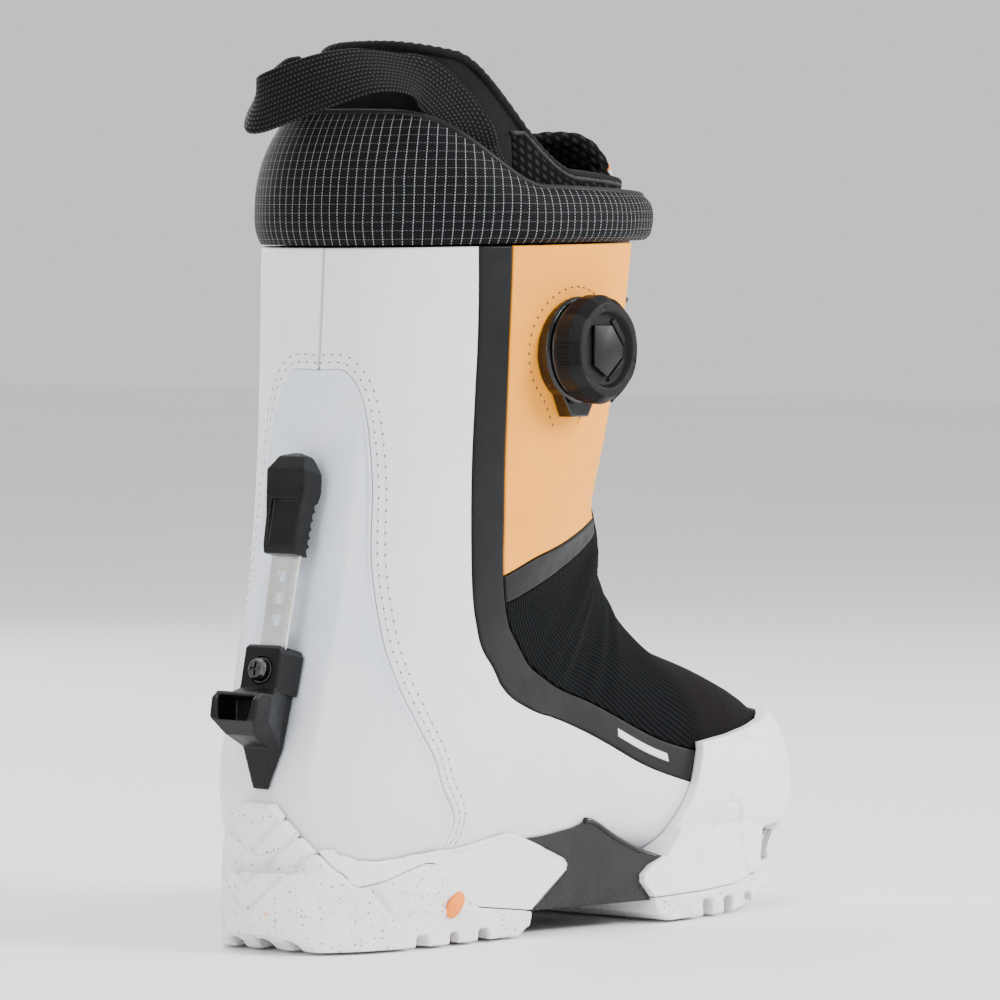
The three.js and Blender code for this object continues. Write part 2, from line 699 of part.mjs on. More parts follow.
const lifted = (line, dz) => line.map(([x, z]) => [x, z + dz]);
const shifted = (line, dx) => line.map(([x, z]) => [x + dx, z]);
const back = (line) => line.slice().reverse();
let upperForm; // everything inside the shell's outer face

// The heel outsole's counter, seen from behind, thins out to the upper over the tread.
function heelCounter(grow = 0) {
  const near = heelRear.map(([y, z]) => [y + grow, z + grow]);
  const far = near.map(([y, z]) => [-y, z]);
  const foot = 26 + grow;
  return rearCut([[-90, -2], [-90, foot], ...far, ...back(near), [90, foot], [90, -2]], -90, -40.9 + grow);
}

function cupped(plan, z0, z1, outline) {
  return largest(cut(common(planCut(plan, z0, z1), sideCut(outline)), upperForm));
}

function grooves(shape, places, depth) {
  const tools = places.map(([x, width, skew]) =>
    box(-width / 2, width / 2, -90, 90, -1, depth).rotateZ(skew * DEGREE).translate(x, 0, 0),
  );
  return cut(shape, ...tools);
}

function sole() {
  upperForm = envelope(SOLE_FIT, 0, UPPER_TOP, 48);
  const heelSide = [[-80, 11], [-59, 6], [-51, 0], [44, 0], [50, 4], ...back(heelLine)];
  const behind = box(-90, -41, -90, 90, 26.2, 60);
  const heel = cut(cupped(solePlan(), 0, 57, heelSide), cut(behind, heelCounter()),
    cut(box(-90, 60, -90, 90, 30, 60), envelope(SOLE_FIT + 5.5, 7, UPPER_TOP)));
  const acrossHeel = grooves(largest(heel), [[-20, 6, 14], [16, 5, -12], [33, 6, -12]], 4.5);
  const rearGroove = (y) => box(-70, -34, y - 2.5, y + 2.5, -1, 4.5).rotateZ(Math.sign(y) * 8 * DEGREE);
  const heelGrooved = cut(acrossHeel, ...[-21, -8.5, 8.5, 21].map(rearGroove));
  const midsoleSide = [...midsoleTop, ...wedge, ...lifted(back(heelLine.slice(2)), 0.4), [-47, 31]];
  const middle = cut(cupped(solePlan(1.2), 0, 60, midsoleSide),
    joined(heelCounter(0.4), box(-90, -53, -90, 90, 0, 70)));
  const shankOutline = [...shankTop, ...shifted(capRear.slice(-5), -0.4), [117, 8.4], [53, 8.8],
    ...shifted(back(wedge).slice(1), 0.5), ...lifted(back(midsoleTop.slice(-4)), 0.4).slice(0, -1)];
  const shank = cupped(solePlan(3), 6, 60, shankOutline);
  const front = cupped(solePlan(), 0, 60, [...treadTop, ...treadFoot]);
  const frontGrooves = [[140, 5, 10], [157, 6, -8], [176, 6, -12], [196, 5, -16], [213, 5, -18]];
  const frontGrooved = grooves(front, frontGrooves, 6.5);
  const capBody = joined(envelope(CAP_WALL + SOLE_FIT, 0, 5.5, 32), planCut(solePlan(0.6), 8, 36));
  const capFoot = lifted(back(treadTop), 0.4).slice(1, -1);
  const capOutline = [...capTop, [stretched(250), 42.4], ...capFoot, ...back(capRear)];
  const cap = cut(common(capBody, sideCut(capOutline)), upperForm, hookSeat(-1), hookSeat(1));
  return [
    part("outsole_heel", "white_rubber", heelGrooved),
    part("midsole", "midsole", middle),
    part("arch_shank", "shank", shank),
    part("outsole_forefoot", "white_rubber", frontGrooved),
    part("toe_cap", "midsole", largest(cap)),
    part("toe_hook_lateral", "steel", hook(-1)),
    part("toe_hook_medial", "steel", hook(1)),
  ];
}

// Each hook is a steel pad let into a pocket at the side of the toe. side is -1 on the outer side.
function hookPrism(grow, side) {
  const { length, height } = HOOK;
  const [a, b] = [length / 2 + grow, height / 2 + grow];
  const outline = [[-a, -b], [a - 4, -b], [a, b], [4 - a, b]];
  const made = extruded(outline, 40).rotateX(90 * DEGREE).translate(0, 20, 0);
  return made.rotateZ(side * -26 * DEGREE).translate(stretched(HOOK.x), 7 + side * 46, HOOK.z);
}

function hookSeat(side) {
  const pocket = cut(hookPrism(HOOK.margin, side), envelope(SOLE_FIT + 2, 0, 5.5, 32));
  return joined(pocket, hookPrism(0.4, side));
}

function hook(side) {
  const depth = envelope(SOLE_FIT + HOOK.proud, 0, 5.5, 32);
  return largest(cut(common(hookPrism(0, side), depth), upperForm));
}

// ---------------------------------------------------------------- dial closure
// Built with its axis up the Y of a lathe and its panel face at 0, then laid to point sideways (-Y).
const dialAt = sideOfSkin(DIAL.x, DIAL.z);
const dialFace = skin(dialAt.u, dialAt.v).y - 1.2;

function onDial(shape) {
  return shape.rotateX(180 * DEGREE).translate(DIAL.x, dialFace, DIAL.z);
}

// Heights over the panel of the dial's stack, from the base's floor to the knob's face.
const STACK = { floor: 1.4, spring: 2.6, spool: 5, disc: 9.2, knob: 10.6, recess: 14, face: 16.4 };
const CUP = 15.4; // inner radius of the base
const SPOOL = 11.6;

function dialBase() {
  const { baseRadius, screwRadius } = DIAL;
  const flange = turned([[0, -6], [baseRadius, -6], [baseRadius, 1.8], [baseRadius - 1, 2.8],
    [baseRadius - 2.2, 2.8], [baseRadius - 2.2, 8.8], [CUP, 8.8], [CUP, STACK.floor], [0, STACK.floor]], 36);
  const tail = extruded([[-14, -12], [-5.2, -26], [5.2, -26], [14, -12]], 8.2).rotateX(-90 * DEGREE)
    .translate(0, -6, 0);
  const block = cut(joined(flange, cut(tail, turned([[0, -7], [CUP + 1, -7], [CUP + 1, 9], [0, 9]], 36))),
    turned([[0, STACK.floor - 0.6], [screwRadius, STACK.floor - 0.6], [screwRadius, 3], [0, 3]], 16));
  return largest(cut(onDial(block), envelope(0.4, 9, 15.5, 64), laceTunnel()));
}

function dialKnob() {
  const { radius } = DIAL;
  const grip = turned([[8.4, STACK.knob], [CUP - 0.5, STACK.knob], [CUP - 0.5, 9.2], [18.6, 9.2], [18.6, 5.4],
    [radius - 0.8, 5.4], [radius, 6.4], [radius, 13], [radius - 3, STACK.face], [14.6, STACK.face],
    [13.2, STACK.recess], [4.2, STACK.recess], [4.2, 12], [8.4, 12], [8.4, STACK.knob]], 40);
  const flute = new THREE.CylinderGeometry(1, 1, 30, 6);
  const flutes = [];
  for (let i = 0; i < 40; i++) {
    if (i % 10 > 5) continue;
    const angle = (i / 40) * 2 * Math.PI;
    const at = radius + 0.4;
    flutes.push(flute.clone().translate(at * Math.cos(angle), STACK.disc + 15, at * Math.sin(angle)));
  }
  return cut(grip, ...flutes);
}

function dialParts() {
  const { screwRadius } = DIAL;
  const bore = screwRadius + 0.3;
  const z = STACK;
  const spool = turned([[bore, z.spool], [SPOOL, z.spool], [SPOOL, 5.8], [SPOOL - 2, 6.4], [SPOOL - 2, 7.6],
    [SPOOL, 8.2], [SPOOL, 8.9], [bore, 8.9], [bore, z.spool]]);
  const disc = turned([[bore, z.disc], [14, z.disc], [14, 10.2], [8, 10.2], [8, 11.6], [bore, 11.6],
    [bore, z.disc]]);
  const screw = turned([[0, 1], [screwRadius, 1], [screwRadius, 11.9], [3.6, 11.9], [3.6, 12.8], [2.6, 13.4],
    [0, 13.4]], 16);
  const arrow = [[-8, -9.4], [3, -9.4], [9.6, -1.5], [9.6, 3], [0, 10.6], [-8, 6]];
  const capPlate = extruded(arrow, 1.3).rotateX(-90 * DEGREE).translate(0, z.recess + 0.3, 0);
  return [
    part("dial_base", "black_plastic", dialBase()),
    part("dial_spool", "black_plastic", onDial(spool)),
    part("coiler_spring", "steel", onDial(coilerSpring())),
    part("drive_disc", "black_plastic", onDial(disc)),
    part("dial_screw", "steel", onDial(screw)),
    part("dial_knob", "black_plastic", onDial(dialKnob())),
    part("dial_cap", "black_plastic", onDial(capPlate)),
  ];
}

// A flat spiral ribbon under the spool that winds the slack lace in.
function coilerSpring() {
  const turns = 3;
  const perTurn = 14;
  const thick = 0.5;
  const inner = [];
  const outer = [];
  for (let i = 0; i <= turns * perTurn; i++) {
    const angle = (i / perTurn) * 2 * Math.PI;
    const r = 4 + (7 * i) / (turns * perTurn);
    inner.push([r * Math.cos(angle), r * Math.sin(angle)]);
    outer.push([(r + thick) * Math.cos(angle), (r + thick) * Math.sin(angle)]);
  }
  return extruded([...outer, ...inner.reverse()], 1.8).rotateX(-90 * DEGREE).translate(0, STACK.spring, 0);
}

// ---------------------------------------------------------------- lace and its guides
// Each guide sits at the front edge of an ankle panel: the u of its middle, and its side (1 is outer).
const GUIDES = [[13.6, -1], [12.95, 1], [12.25, -1]];
const GUIDE_HALF = 0.32; // in u
const GUIDE_DEPTH = 9; // in degrees of v
const TURN = 0.17; // from a guide's middle to each strand, in u
const RIDE = -3.6; // height of the lace over the tongue
const UNDER = -PANEL - 1.5; // height of the lace under the panel
const LACE_STEPS = 80;

const frontOfPanel = (u) => {
  const at = panelFront.findIndex(([edgeU]) => edgeU <= u);
  const [a, b] = [panelFront[at - 1], panelFront[at]];
  return a[1] + ((b[1] - a[1]) * (a[0] - u)) / (a[0] - b[0]);
};

// From the dial under its panel, across to each guide in turn and back under the panel to the dial.
function laceCurve() {
  const points = [];
  const add = (u, v, height) => points.push(over(u, v, height));
  const inDial = (dx, dz, height) =>
    points.push(new THREE.Vector3(DIAL.x + dx, dialFace - height, DIAL.z + dz));
  inDial(5, -12, 5);
  inDial(5.4, -12.6, 0);
  const first = 14.02;
  const last = 11.75;
  add(first - 0.55, 82, UNDER);
  add(first - 0.1, 72, UNDER);
  add(first, frontOfPanel(first) - 3, RIDE);
  let strand = first;
  GUIDES.forEach(([u, side], i) => {
    const edgeV = frontOfPanel(u) - 1;
    const near = (v) => side * -v;
    const from = strand;
    [0.25, 0.5, 0.75].forEach((share) => {
      add(from + (u + TURN - from) * share, near((share - 0.5) * 2 * -edgeV), RIDE);
    });
    add(u + TURN, side * edgeV - side * 7, RIDE + 0.6);
    add(u + TURN * 0.8, side * edgeV - side * 3.4, RIDE + 1);
    add(u - TURN * 0.8, side * edgeV - side * 3.4, RIDE + 1);
    add(u - TURN, side * edgeV - side * 7, RIDE + 0.6);
    strand = u - TURN;
  });
  [0.25, 0.5, 0.75].forEach((share) => {
    const edgeV = frontOfPanel(12) - 1;
    add(strand + (last - strand) * share, (share - 0.5) * 2 * edgeV, RIDE);
  });
  add(last, frontOfPanel(last) - 3, RIDE);
  add(last + 0.15, 72, UNDER);
  add(last + 0.75, 88, UNDER);
  inDial(-5.4, -12.6, 0);
  inDial(-5, -12, 5);
  return new THREE.CatmullRomCurve3(points, false, "centripetal");
}

function roundTube(curve, radius, steps, sides = 8) {
  const section = new THREE.Shape();
  for (let i = 0; i < sides; i++) {
    const a = (i / sides) * 2 * Math.PI;
    const at = [radius * Math.cos(a), radius * Math.sin(a)];
    if (i === 0) section.moveTo(...at);
    else section.lineTo(...at);
  }
  section.closePath();
  return new THREE.ExtrudeGeometry(section, { extrudePath: curve, steps, bevelEnabled: false });
}

const laceTunnel = () => roundTube(laceCurve(), LACE_RADIUS + LACE_CLEARANCE, LACE_STEPS);

function guides() {
  return GUIDES.map(([u, side], i) => {
    const edgeV = (at) => frontOfPanel(at) - 0.8;
    const ends = [u + GUIDE_HALF, u, u - GUIDE_HALF];
    const left = ends.map((at) => [at, side * edgeV(at)]);
    const right = ends.map((at) => [at, side * (edgeV(at) - GUIDE_DEPTH)]);
    const shape = patch({ left: side > 0 ? left : right, right: side > 0 ? right : left, columns: 3,
      outer: 0.6, inner: -TONGUE_TOP + 0.4, gap: 0 });
    return part(`lace_guide_${i + 1}`, "black_plastic", largest(cut(shape, laceTunnel())));
  });
}

// ---------------------------------------------------------------- heel cleat and lean lever
// Local frame: the middle of the screw on the spine's face, +X towards the boot, +Z up along the strip.
function onCleat(shape) {
  return shape.rotateY(CLEAT.lean * DEGREE).translate(CLEAT.x, 0, CLEAT.z);
}

// An outline (y, z) seen from behind the boot, extruded along local X from x0 to x1.
function rearCut(outline, x0, x1) {
  return extruded(outline, x1 - x0).rotateX(90 * DEGREE).rotateZ(90 * DEGREE).translate(x0, 0, 0);
}

function screwBore() {
  const radius = CLEAT.screwRadius + 0.3;
  return turned([[0, -30], [radius, -30], [radius, 30], [0, 30]], 16).rotateZ(90 * DEGREE);
}

function nutBox(grow, deep = 0) {
  const { width, height, thick, depth } = NUT;
  const [a, b] = [width / 2 + grow, height / 2 + grow];
  return box(depth - grow, depth + thick + grow + deep, -a, a, -b, b);
}

function cleat() {
  const half = CLEAT.width / 2;
  const face = -CLEAT.thick;
  const side = [[5, 9.5], [face + 1.2, 10], [face, 8.6], [face, -7], [face - 3, -9.5], [face - 10, -10],
    [face - 12.5, -13], [face - 12, -21], [face - 6, -26], [face + 4, -29], [-4, -44], [8, -44]];
  const rear = [[-half + 3.4, 12], [half - 1, 12], [half, 8], [half, -6],
    [half + 2.4, -10], [half + 2.4, -20],
    [half - 1.5, -26], [3, -44], [-3, -44], [-half + 1.5, -26], [-half - 2.4, -20], [-half - 2.4, -10],
    [-half, -6], [-half, 7]];
  const taper = [[face - 14, -half - 2.6], [face - 4, -half - 2.2], [-4, -half + 2], [10, -half + 2.6]];
  const scoop = planCut([...taper, ...back(taper).map(([x, y]) => [x, -y])], -50, -8);
  const upper = box(-40, 12, -half, half, -8, 13);
  const body = common(sideCut(side, -20, 20), rearCut(rear, -40, 12), joined(scoop, upper));
  const mouth = rearCut([[-9.2, -11.6], [9.2, -11.6], [7.4, -21], [-7.4, -21]], face - 14, face - 1);
  const lip = STRIP.width / 2 + 0.5;
  const near = STRIP.depth - STRIP.thick / 2 - 0.4;
  const far = STRIP.depth + STRIP.thick / 2 + 0.4;
  const foot = STRIP.root - 0.4;
  const slot = sideCut([[-near, 14], [-far - 4.4, 14], [-far, foot], [-near, foot]], -lip, lip);
  const seat = turned([[0, 0], [5.4, 0], [5.4, 9], [0, 9]], 24).rotateZ(90 * DEGREE)
    .translate(face + 1.6, 0, 0);
  return largest(cut(onCleat(cut(body, mouth, slot, seat, screwBore())), envelope(0.5, 8.5, 13, 64)));
}

function lever() {
  const { width, thick, depth, root, top, slot, firstSlot, pitch } = STRIP;
  const half = width / 2;
  const outline = [[-half + 0.7, root], [half - 0.7, root], [half, GRIP.foot], [half, top], [-half, top],
    [-half, GRIP.foot]];
  const holes = [0, 1, 2].map((i) => {
    const z = firstSlot + i * pitch;
    return box(-depth - 3, -depth + 3, -slot[0] / 2, slot[0] / 2, z - slot[1] / 2, z + slot[1] / 2);
  });
  const strip = cut(rearCut(outline, -depth - thick / 2, -depth + thick / 2), ...holes);
  const side = [[-GRIP.inner, GRIP.foot], [-GRIP.outer + 1, GRIP.foot], [-GRIP.outer, GRIP.foot + 4],
    [-GRIP.outer - 1, 70], [-GRIP.outer - 2.4, 77], [-GRIP.outer, 82.5], [-10, GRIP.top], [-7, 82],
    [-5, 77], [-GRIP.inner + 0.4, 70]];
  for (let z = 66; z > GRIP.foot + 3; z -= 3.4) {
    side.push([-GRIP.inner, z], [-GRIP.inner - 1.4, z - 1], [-GRIP.inner - 1.4, z - 2.2]);
  }
  const rear = [[-8, GRIP.foot - 1], [8, GRIP.foot - 1], [8.4, 60], [9.8, 70], [9.6, 77], [6.4, 83], [0, 85],
    [-6.4, 83], [-9.6, 77], [-9.8, 70], [-8.4, 60]];
  const [near, far] = [-depth + thick / 2 + 0.2, -depth - thick / 2 - 0.2];
  const socket = box(far, near, -half - 0.2, half + 0.2, GRIP.foot - 2, top + 0.3);
  const dish = box(-30, -GRIP.outer + 0.8, -6.4, 6.4, GRIP.foot + 3, 66);
  const grip = cut(common(sideCut(side, -20, 20), rearCut(rear, -40, 12)), socket, dish);
  return [part("spring_strip", "steel", onCleat(strip)), part("lever_grip", "black_plastic", onCleat(grip))];
}

function cleatParts() {
  const face = -CLEAT.thick + 1.6;
  const { screwRadius } = CLEAT;
  const washer = turned([[screwRadius + 0.3, 0.3], [5, 0.3], [5, 1.3], [screwRadius + 0.3, 1.3],
    [screwRadius + 0.3, 0.3]], 20).rotateZ(90 * DEGREE).translate(face, 0, 0);
  const length = CLEAT.thick + NUT.depth + NUT.thick;
  const screw = turned([[0, -length], [screwRadius, -length], [screwRadius, 1.6], [4.4, 1.6], [4.4, 3.6],
    [3.4, 5], [0, 5]], 20);
  const cross = joined(box(-0.6, 0.6, 3.6, 6, -2.6, 2.6), box(-2.6, 2.6, 3.6, 6, -0.6, 0.6));
  const placed = cut(screw, cross).rotateZ(90 * DEGREE).translate(face, 0, 0);
  return [
    part("heel_cleat", "black_plastic", cleat()),
    part("cleat_washer", "steel", onCleat(washer)),
    part("cleat_screw", "steel", onCleat(placed)),
    part("nut_plate", "steel", onCleat(cut(nutBox(0), screwBore()))),
    ...lever(),
  ];
}

const boot = new THREE.Group();
boot.add(...quarters(), spine(), ...bands(), ...anklePanels(), ...ankleStraps(), vamp(), shellTongue());
boot.add(lastingBoard(), part("collar", "ripstop", collarRing()));
// The collar presses the ends of the webbing flat where it passes under the rim.
boot.add(part("pull_loop", "webbing", largest(cut(pullLoop(), collarRing()))), ...liner(), footbed());
boot.add(...sole());
boot.add(...dialParts(), part("lace", "lace", roundTube(laceCurve(), LACE_RADIUS, LACE_STEPS)), ...guides());
boot.add(...cleatParts());

export default boot;
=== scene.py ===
"""The looks of a snowboard boot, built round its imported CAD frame.

The soft shell panels are remade finely from the same master surface as the CAD: station u runs from
the toe tip (0) to the liner's top (18), and v is the angle round it, 0 at the front, 90 on the outer
side. Lengths in the tables are in millimetres; Blender's objects are in metres.
"""
import json
import math

import bmesh
import bpy
import numpy as np
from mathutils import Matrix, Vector
from mathutils.bvhtree import BVHTree

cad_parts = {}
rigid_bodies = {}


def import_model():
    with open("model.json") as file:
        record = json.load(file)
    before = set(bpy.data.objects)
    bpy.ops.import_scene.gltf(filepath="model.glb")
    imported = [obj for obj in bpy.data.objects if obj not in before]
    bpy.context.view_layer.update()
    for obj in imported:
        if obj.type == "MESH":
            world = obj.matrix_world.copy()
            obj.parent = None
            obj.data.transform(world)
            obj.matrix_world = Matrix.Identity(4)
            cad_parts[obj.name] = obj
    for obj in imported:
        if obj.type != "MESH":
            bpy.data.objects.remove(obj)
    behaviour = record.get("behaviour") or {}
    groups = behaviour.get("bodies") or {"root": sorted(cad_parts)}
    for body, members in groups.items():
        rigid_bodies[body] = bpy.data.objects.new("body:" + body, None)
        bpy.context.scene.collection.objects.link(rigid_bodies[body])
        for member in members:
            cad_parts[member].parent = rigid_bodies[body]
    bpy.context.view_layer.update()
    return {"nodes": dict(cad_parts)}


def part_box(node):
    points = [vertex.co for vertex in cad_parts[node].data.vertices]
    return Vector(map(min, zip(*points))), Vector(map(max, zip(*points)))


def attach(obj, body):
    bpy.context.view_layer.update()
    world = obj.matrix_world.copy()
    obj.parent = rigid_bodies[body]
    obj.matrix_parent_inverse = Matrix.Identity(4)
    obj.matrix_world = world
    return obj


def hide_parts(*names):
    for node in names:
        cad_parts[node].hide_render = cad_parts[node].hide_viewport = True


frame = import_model()
MM = 0.001
SEED = 7


# ---------------------------------------------------------------- the upper's master surface
STATIONS = np.array([
    [233, 46, 233, 30, 12, 0.5, 0.7, 0.6, 8],
    [232, 63, 230, 25, 36, 0.6, 0.66, 0.5, 8],
    [217, 85, 213, 23, 52, 0.62, 0.66, 0.42, 7],
    [185, 97, 183, 22, 56, 0.64, 0.68, 0.42, 4],
    [155, 107, 149, 22, 54, 0.66, 0.7, 0.42, 1],
    [138, 118, 110, 22, 50, 0.68, 0.72, 0.42, -1],
    [127, 133, 69, 22, 48, 0.66, 0.72, 0.42, -1],
    [122, 149, 28, 22, 48, 0.64, 0.72, 0.45, 0],
    [122, 163, -14, 22, 50, 0.62, 0.72, 0.5, 0],
    [123, 174, -45, 28, 51, 0.58, 0.72, 0.6, 0],
    [123, 183, -55, 55, 52, 0.54, 0.72, 0.72, 0],
    [125, 193, -46, 92, 54, 0.52, 0.72, 0.78, 0],
    [128, 206, -35, 134, 57, 0.5, 0.74, 0.8, 0],
    [132, 226, -27, 182, 61, 0.5, 0.76, 0.8, 0],
    [136, 248, -22, 226, 65, 0.5, 0.78, 0.8, 0],
    [139, 271, -19, 270, 67, 0.5, 0.8, 0.8, 0],
    [139, 290, -16, 297, 66, 0.5, 0.8, 0.8, 0],
    [136, 304, -9, 322, 61, 0.5, 0.8, 0.8, 0],
    [132, 318, -2, 350, 55, 0.5, 0.8, 0.8, 0],
])
LAST = len(STATIONS) - 1


def through(rows, t):
    """Smooth values through a list of rows, read at t counted in rows."""
    rows = np.asarray(rows, float)
    t = np.asarray(t, float)
    last = len(rows) - 1
    i = np.clip(np.floor(t).astype(int), 0, last - 1)
    padded = np.vstack([2 * rows[:1] - rows[1:2], rows, 2 * rows[-1:] - rows[-2:-1]])
    f = (t - i)[..., None]
    p0, p1, p2, p3 = (padded[i + k] for k in range(4))
    square = (2 * p0 - 5 * p1 + 4 * p2 - p3) * f * f
    cube = (3 * p1 - p0 - 3 * p2 + p3) * f * f * f
    return 0.5 * (2 * p1 + (p2 - p0) * f + square + cube)


def skin(u, v):
    u, v = np.broadcast_arrays(np.asarray(u, float), np.asarray(v, float))
    station = through(STATIONS, np.clip(u, 0, LAST))
    xf, zf, xb, zb, half, widest, front, back, inward = np.moveaxis(station, -1, 0)
    c = np.cos(np.radians(v))
    s = np.sin(np.radians(v))
    along = np.where(c > 0, widest * (1 - c), widest - (1 - widest) * c)
    side = half * np.sign(s) * np.abs(s) ** np.where(c > 0, front, back)
    return np.stack([xf + (xb - xf) * along, inward - side, zf + (zb - zf) * along], -1)


def skin_normal(u, v):
    du, dv = 0.04, 1.5
    a = skin(np.minimum(u + du, LAST), v) - skin(np.maximum(u - du, 0), v)
    b = skin(u, v + dv) - skin(u, v - dv)
    n = np.cross(a, b)
    return n / np.maximum(np.linalg.norm(n, axis=-1, keepdims=True), 1e-9)


def over(u, v, height):
    """The point at a height over the skin."""
    u, v = np.asarray(u, float), np.asarray(v, float)
    return skin(u, v) + skin_normal(u, v) * np.asarray(height, float)[..., None]


def within(u, v, depth):
    """A ring drawn in within its own plane."""
    p, front, back = skin(u, v), skin(u, 0 * v), skin(u, 0 * v + 180)
    middle = (front + back) / 2
    half = np.linalg.norm(front - back, axis=-1) / 2
    wide = np.linalg.norm(skin(u, 0 * v + 90) - skin(u, 0 * v + 270), axis=-1) / 2
    line = (back - front) / np.maximum(2 * half, 1e-9)[..., None]
    along = ((p - middle) * line).sum(-1)
    side = p[..., 1] - middle[..., 1]
    shrink = np.maximum(0.2, (half - depth) / half)
    narrow = np.maximum(0.2, (wide - depth) / wide)
    made = middle + line * (along * shrink)[..., None]
    made[..., 1] = middle[..., 1] + side * narrow
    return made


# ---------------------------------------------------------------- edges of the panels, as (u, v)
COLLAR_LINE = 14.9
FEATHER = 152
SEAM_AND_WINDOW = [
    (14.9, 180), (13.85, 180), (13.85, 180), (13.83, 172), (13.55, 165), (12.9, 159), (12.2, 155),
    (11.5, 146), (10.9, 136), (10.1, 123), (9.2, 116), (8.2, 123), (7.8, 152), (7.8, 152), (6.5, 152),
    (5.2, 152), (3.85, 152)]
BAND_BACK = [
    (14.9, 130), (14.3, 128.5), (14.3, 128.5), (13.9, 127.5), (13.4, 126), (12.7, 123), (11.95, 118),
    (11.3, 112), (10.6, 104), (9.84, 94), (9.2, 88), (8.5, 84), (7.5, 81), (7.5, 81), (6.2, 80),
    (5, 83), (3.85, 90)]
BAND_FRONT = [
    (14.9, 119), (14.3, 118), (14.3, 118), (13.9, 117), (13.4, 115), (12.6, 111), (11.8, 105.5),
    (11.3, 101), (10.8, 96), (10.0, 87), (9.3, 81), (8.4, 76.5), (7.2, 74), (7.2, 74), (6.3, 72),
    (5.2, 72), (3.85, 76)]
PANEL_FOOT = [(11.3, 101), (11.05, 84), (10.5, 65), (9.85, 49), (9.3, 38)]
STRAP_FOOT = [(10.8, 96), (10.5, 83), (10.0, 67), (9.4, 52), (8.6, 36)]
PANEL_FRONT = [(14.9, 64), (13.9, 63), (12.6, 59), (11.2, 52), (9.3, 38)]
HEEL_FOOT = [(7.8, 152), (8.3, 160), (8.6, 170), (8.7, 180), (8.6, 190), (8.3, 200), (7.8, 208)]
TOE_SAMPLES = [3.75, 3.2, 2.6, 2.1, 1.7, 1.35, 1.05, 0.8, 0.45, 0.15]
TONGUE_TOP = [(14.9, 119), (14.9, 80), (15.7, 40), (15.9, 0), (15.7, -40), (14.9, -80), (14.9, -119)]


def along_edge(keys, t):
    """(u, v) on an edge at t spans from its start. A point given twice is a corner, not a span."""
    keys = np.asarray(keys, float)
    spans = [k for k in range(len(keys) - 1) if tuple(keys[k]) != tuple(keys[k + 1])]
    t = np.clip(np.asarray(t, float), 0, len(spans))
    k = np.minimum(np.floor(t).astype(int), len(spans) - 1)
    return through(keys, np.asarray(spans)[k] + (t - k))


def mirrored(uv):
    return np.stack([uv[..., 0], 360 - uv[..., 1]], -1)


def across(uv):
    return np.stack([uv[..., 0], -uv[..., 1]], -1)


def vamp_top(s):
    """The top edge of the vamp and the bottom edge of the tongue, at shares s from side to side."""
    s = np.asarray(s, float)
    outer = along_edge(STRAP_FOOT, 4 * np.clip(s * 3.2, 0, 1))
    inner = across(along_edge(STRAP_FOOT, 4 * np.clip((1 - s) * 3.2, 0, 1)))
    middle = np.stack([0 * s + 8.6, 36 - 72 * (s - 0.3125) / 0.375], -1)
    low, high = (s < 0.3125)[..., None], (s > 0.6875)[..., None]
    return np.where(low, outer, np.where(high, inner, middle))


# ---------------------------------------------------------------- meshes
def mesh_object(name, points, faces, uvs=None, smooth=True):
    """A mesh object from points in millimetres, with its normals made consistent."""
    mesh = bpy.data.meshes.new(name)
    mesh.from_pydata((np.asarray(points) * MM).tolist(), [], faces)
    if uvs is not None:
        layer = mesh.uv_layers.new(name="UVMap")
        layer.data.foreach_set("uv", np.asarray(uvs, np.float32).ravel())
    shape = bmesh.new()
    shape.from_mesh(mesh)
    bmesh.ops.recalc_face_normals(shape, faces=shape.faces)
    shape.to_mesh(mesh)
    shape.free()
    if smooth:
        mesh.shade_smooth()
    made = bpy.data.objects.new(name, mesh)
    bpy.context.scene.collection.objects.link(made)
    return made


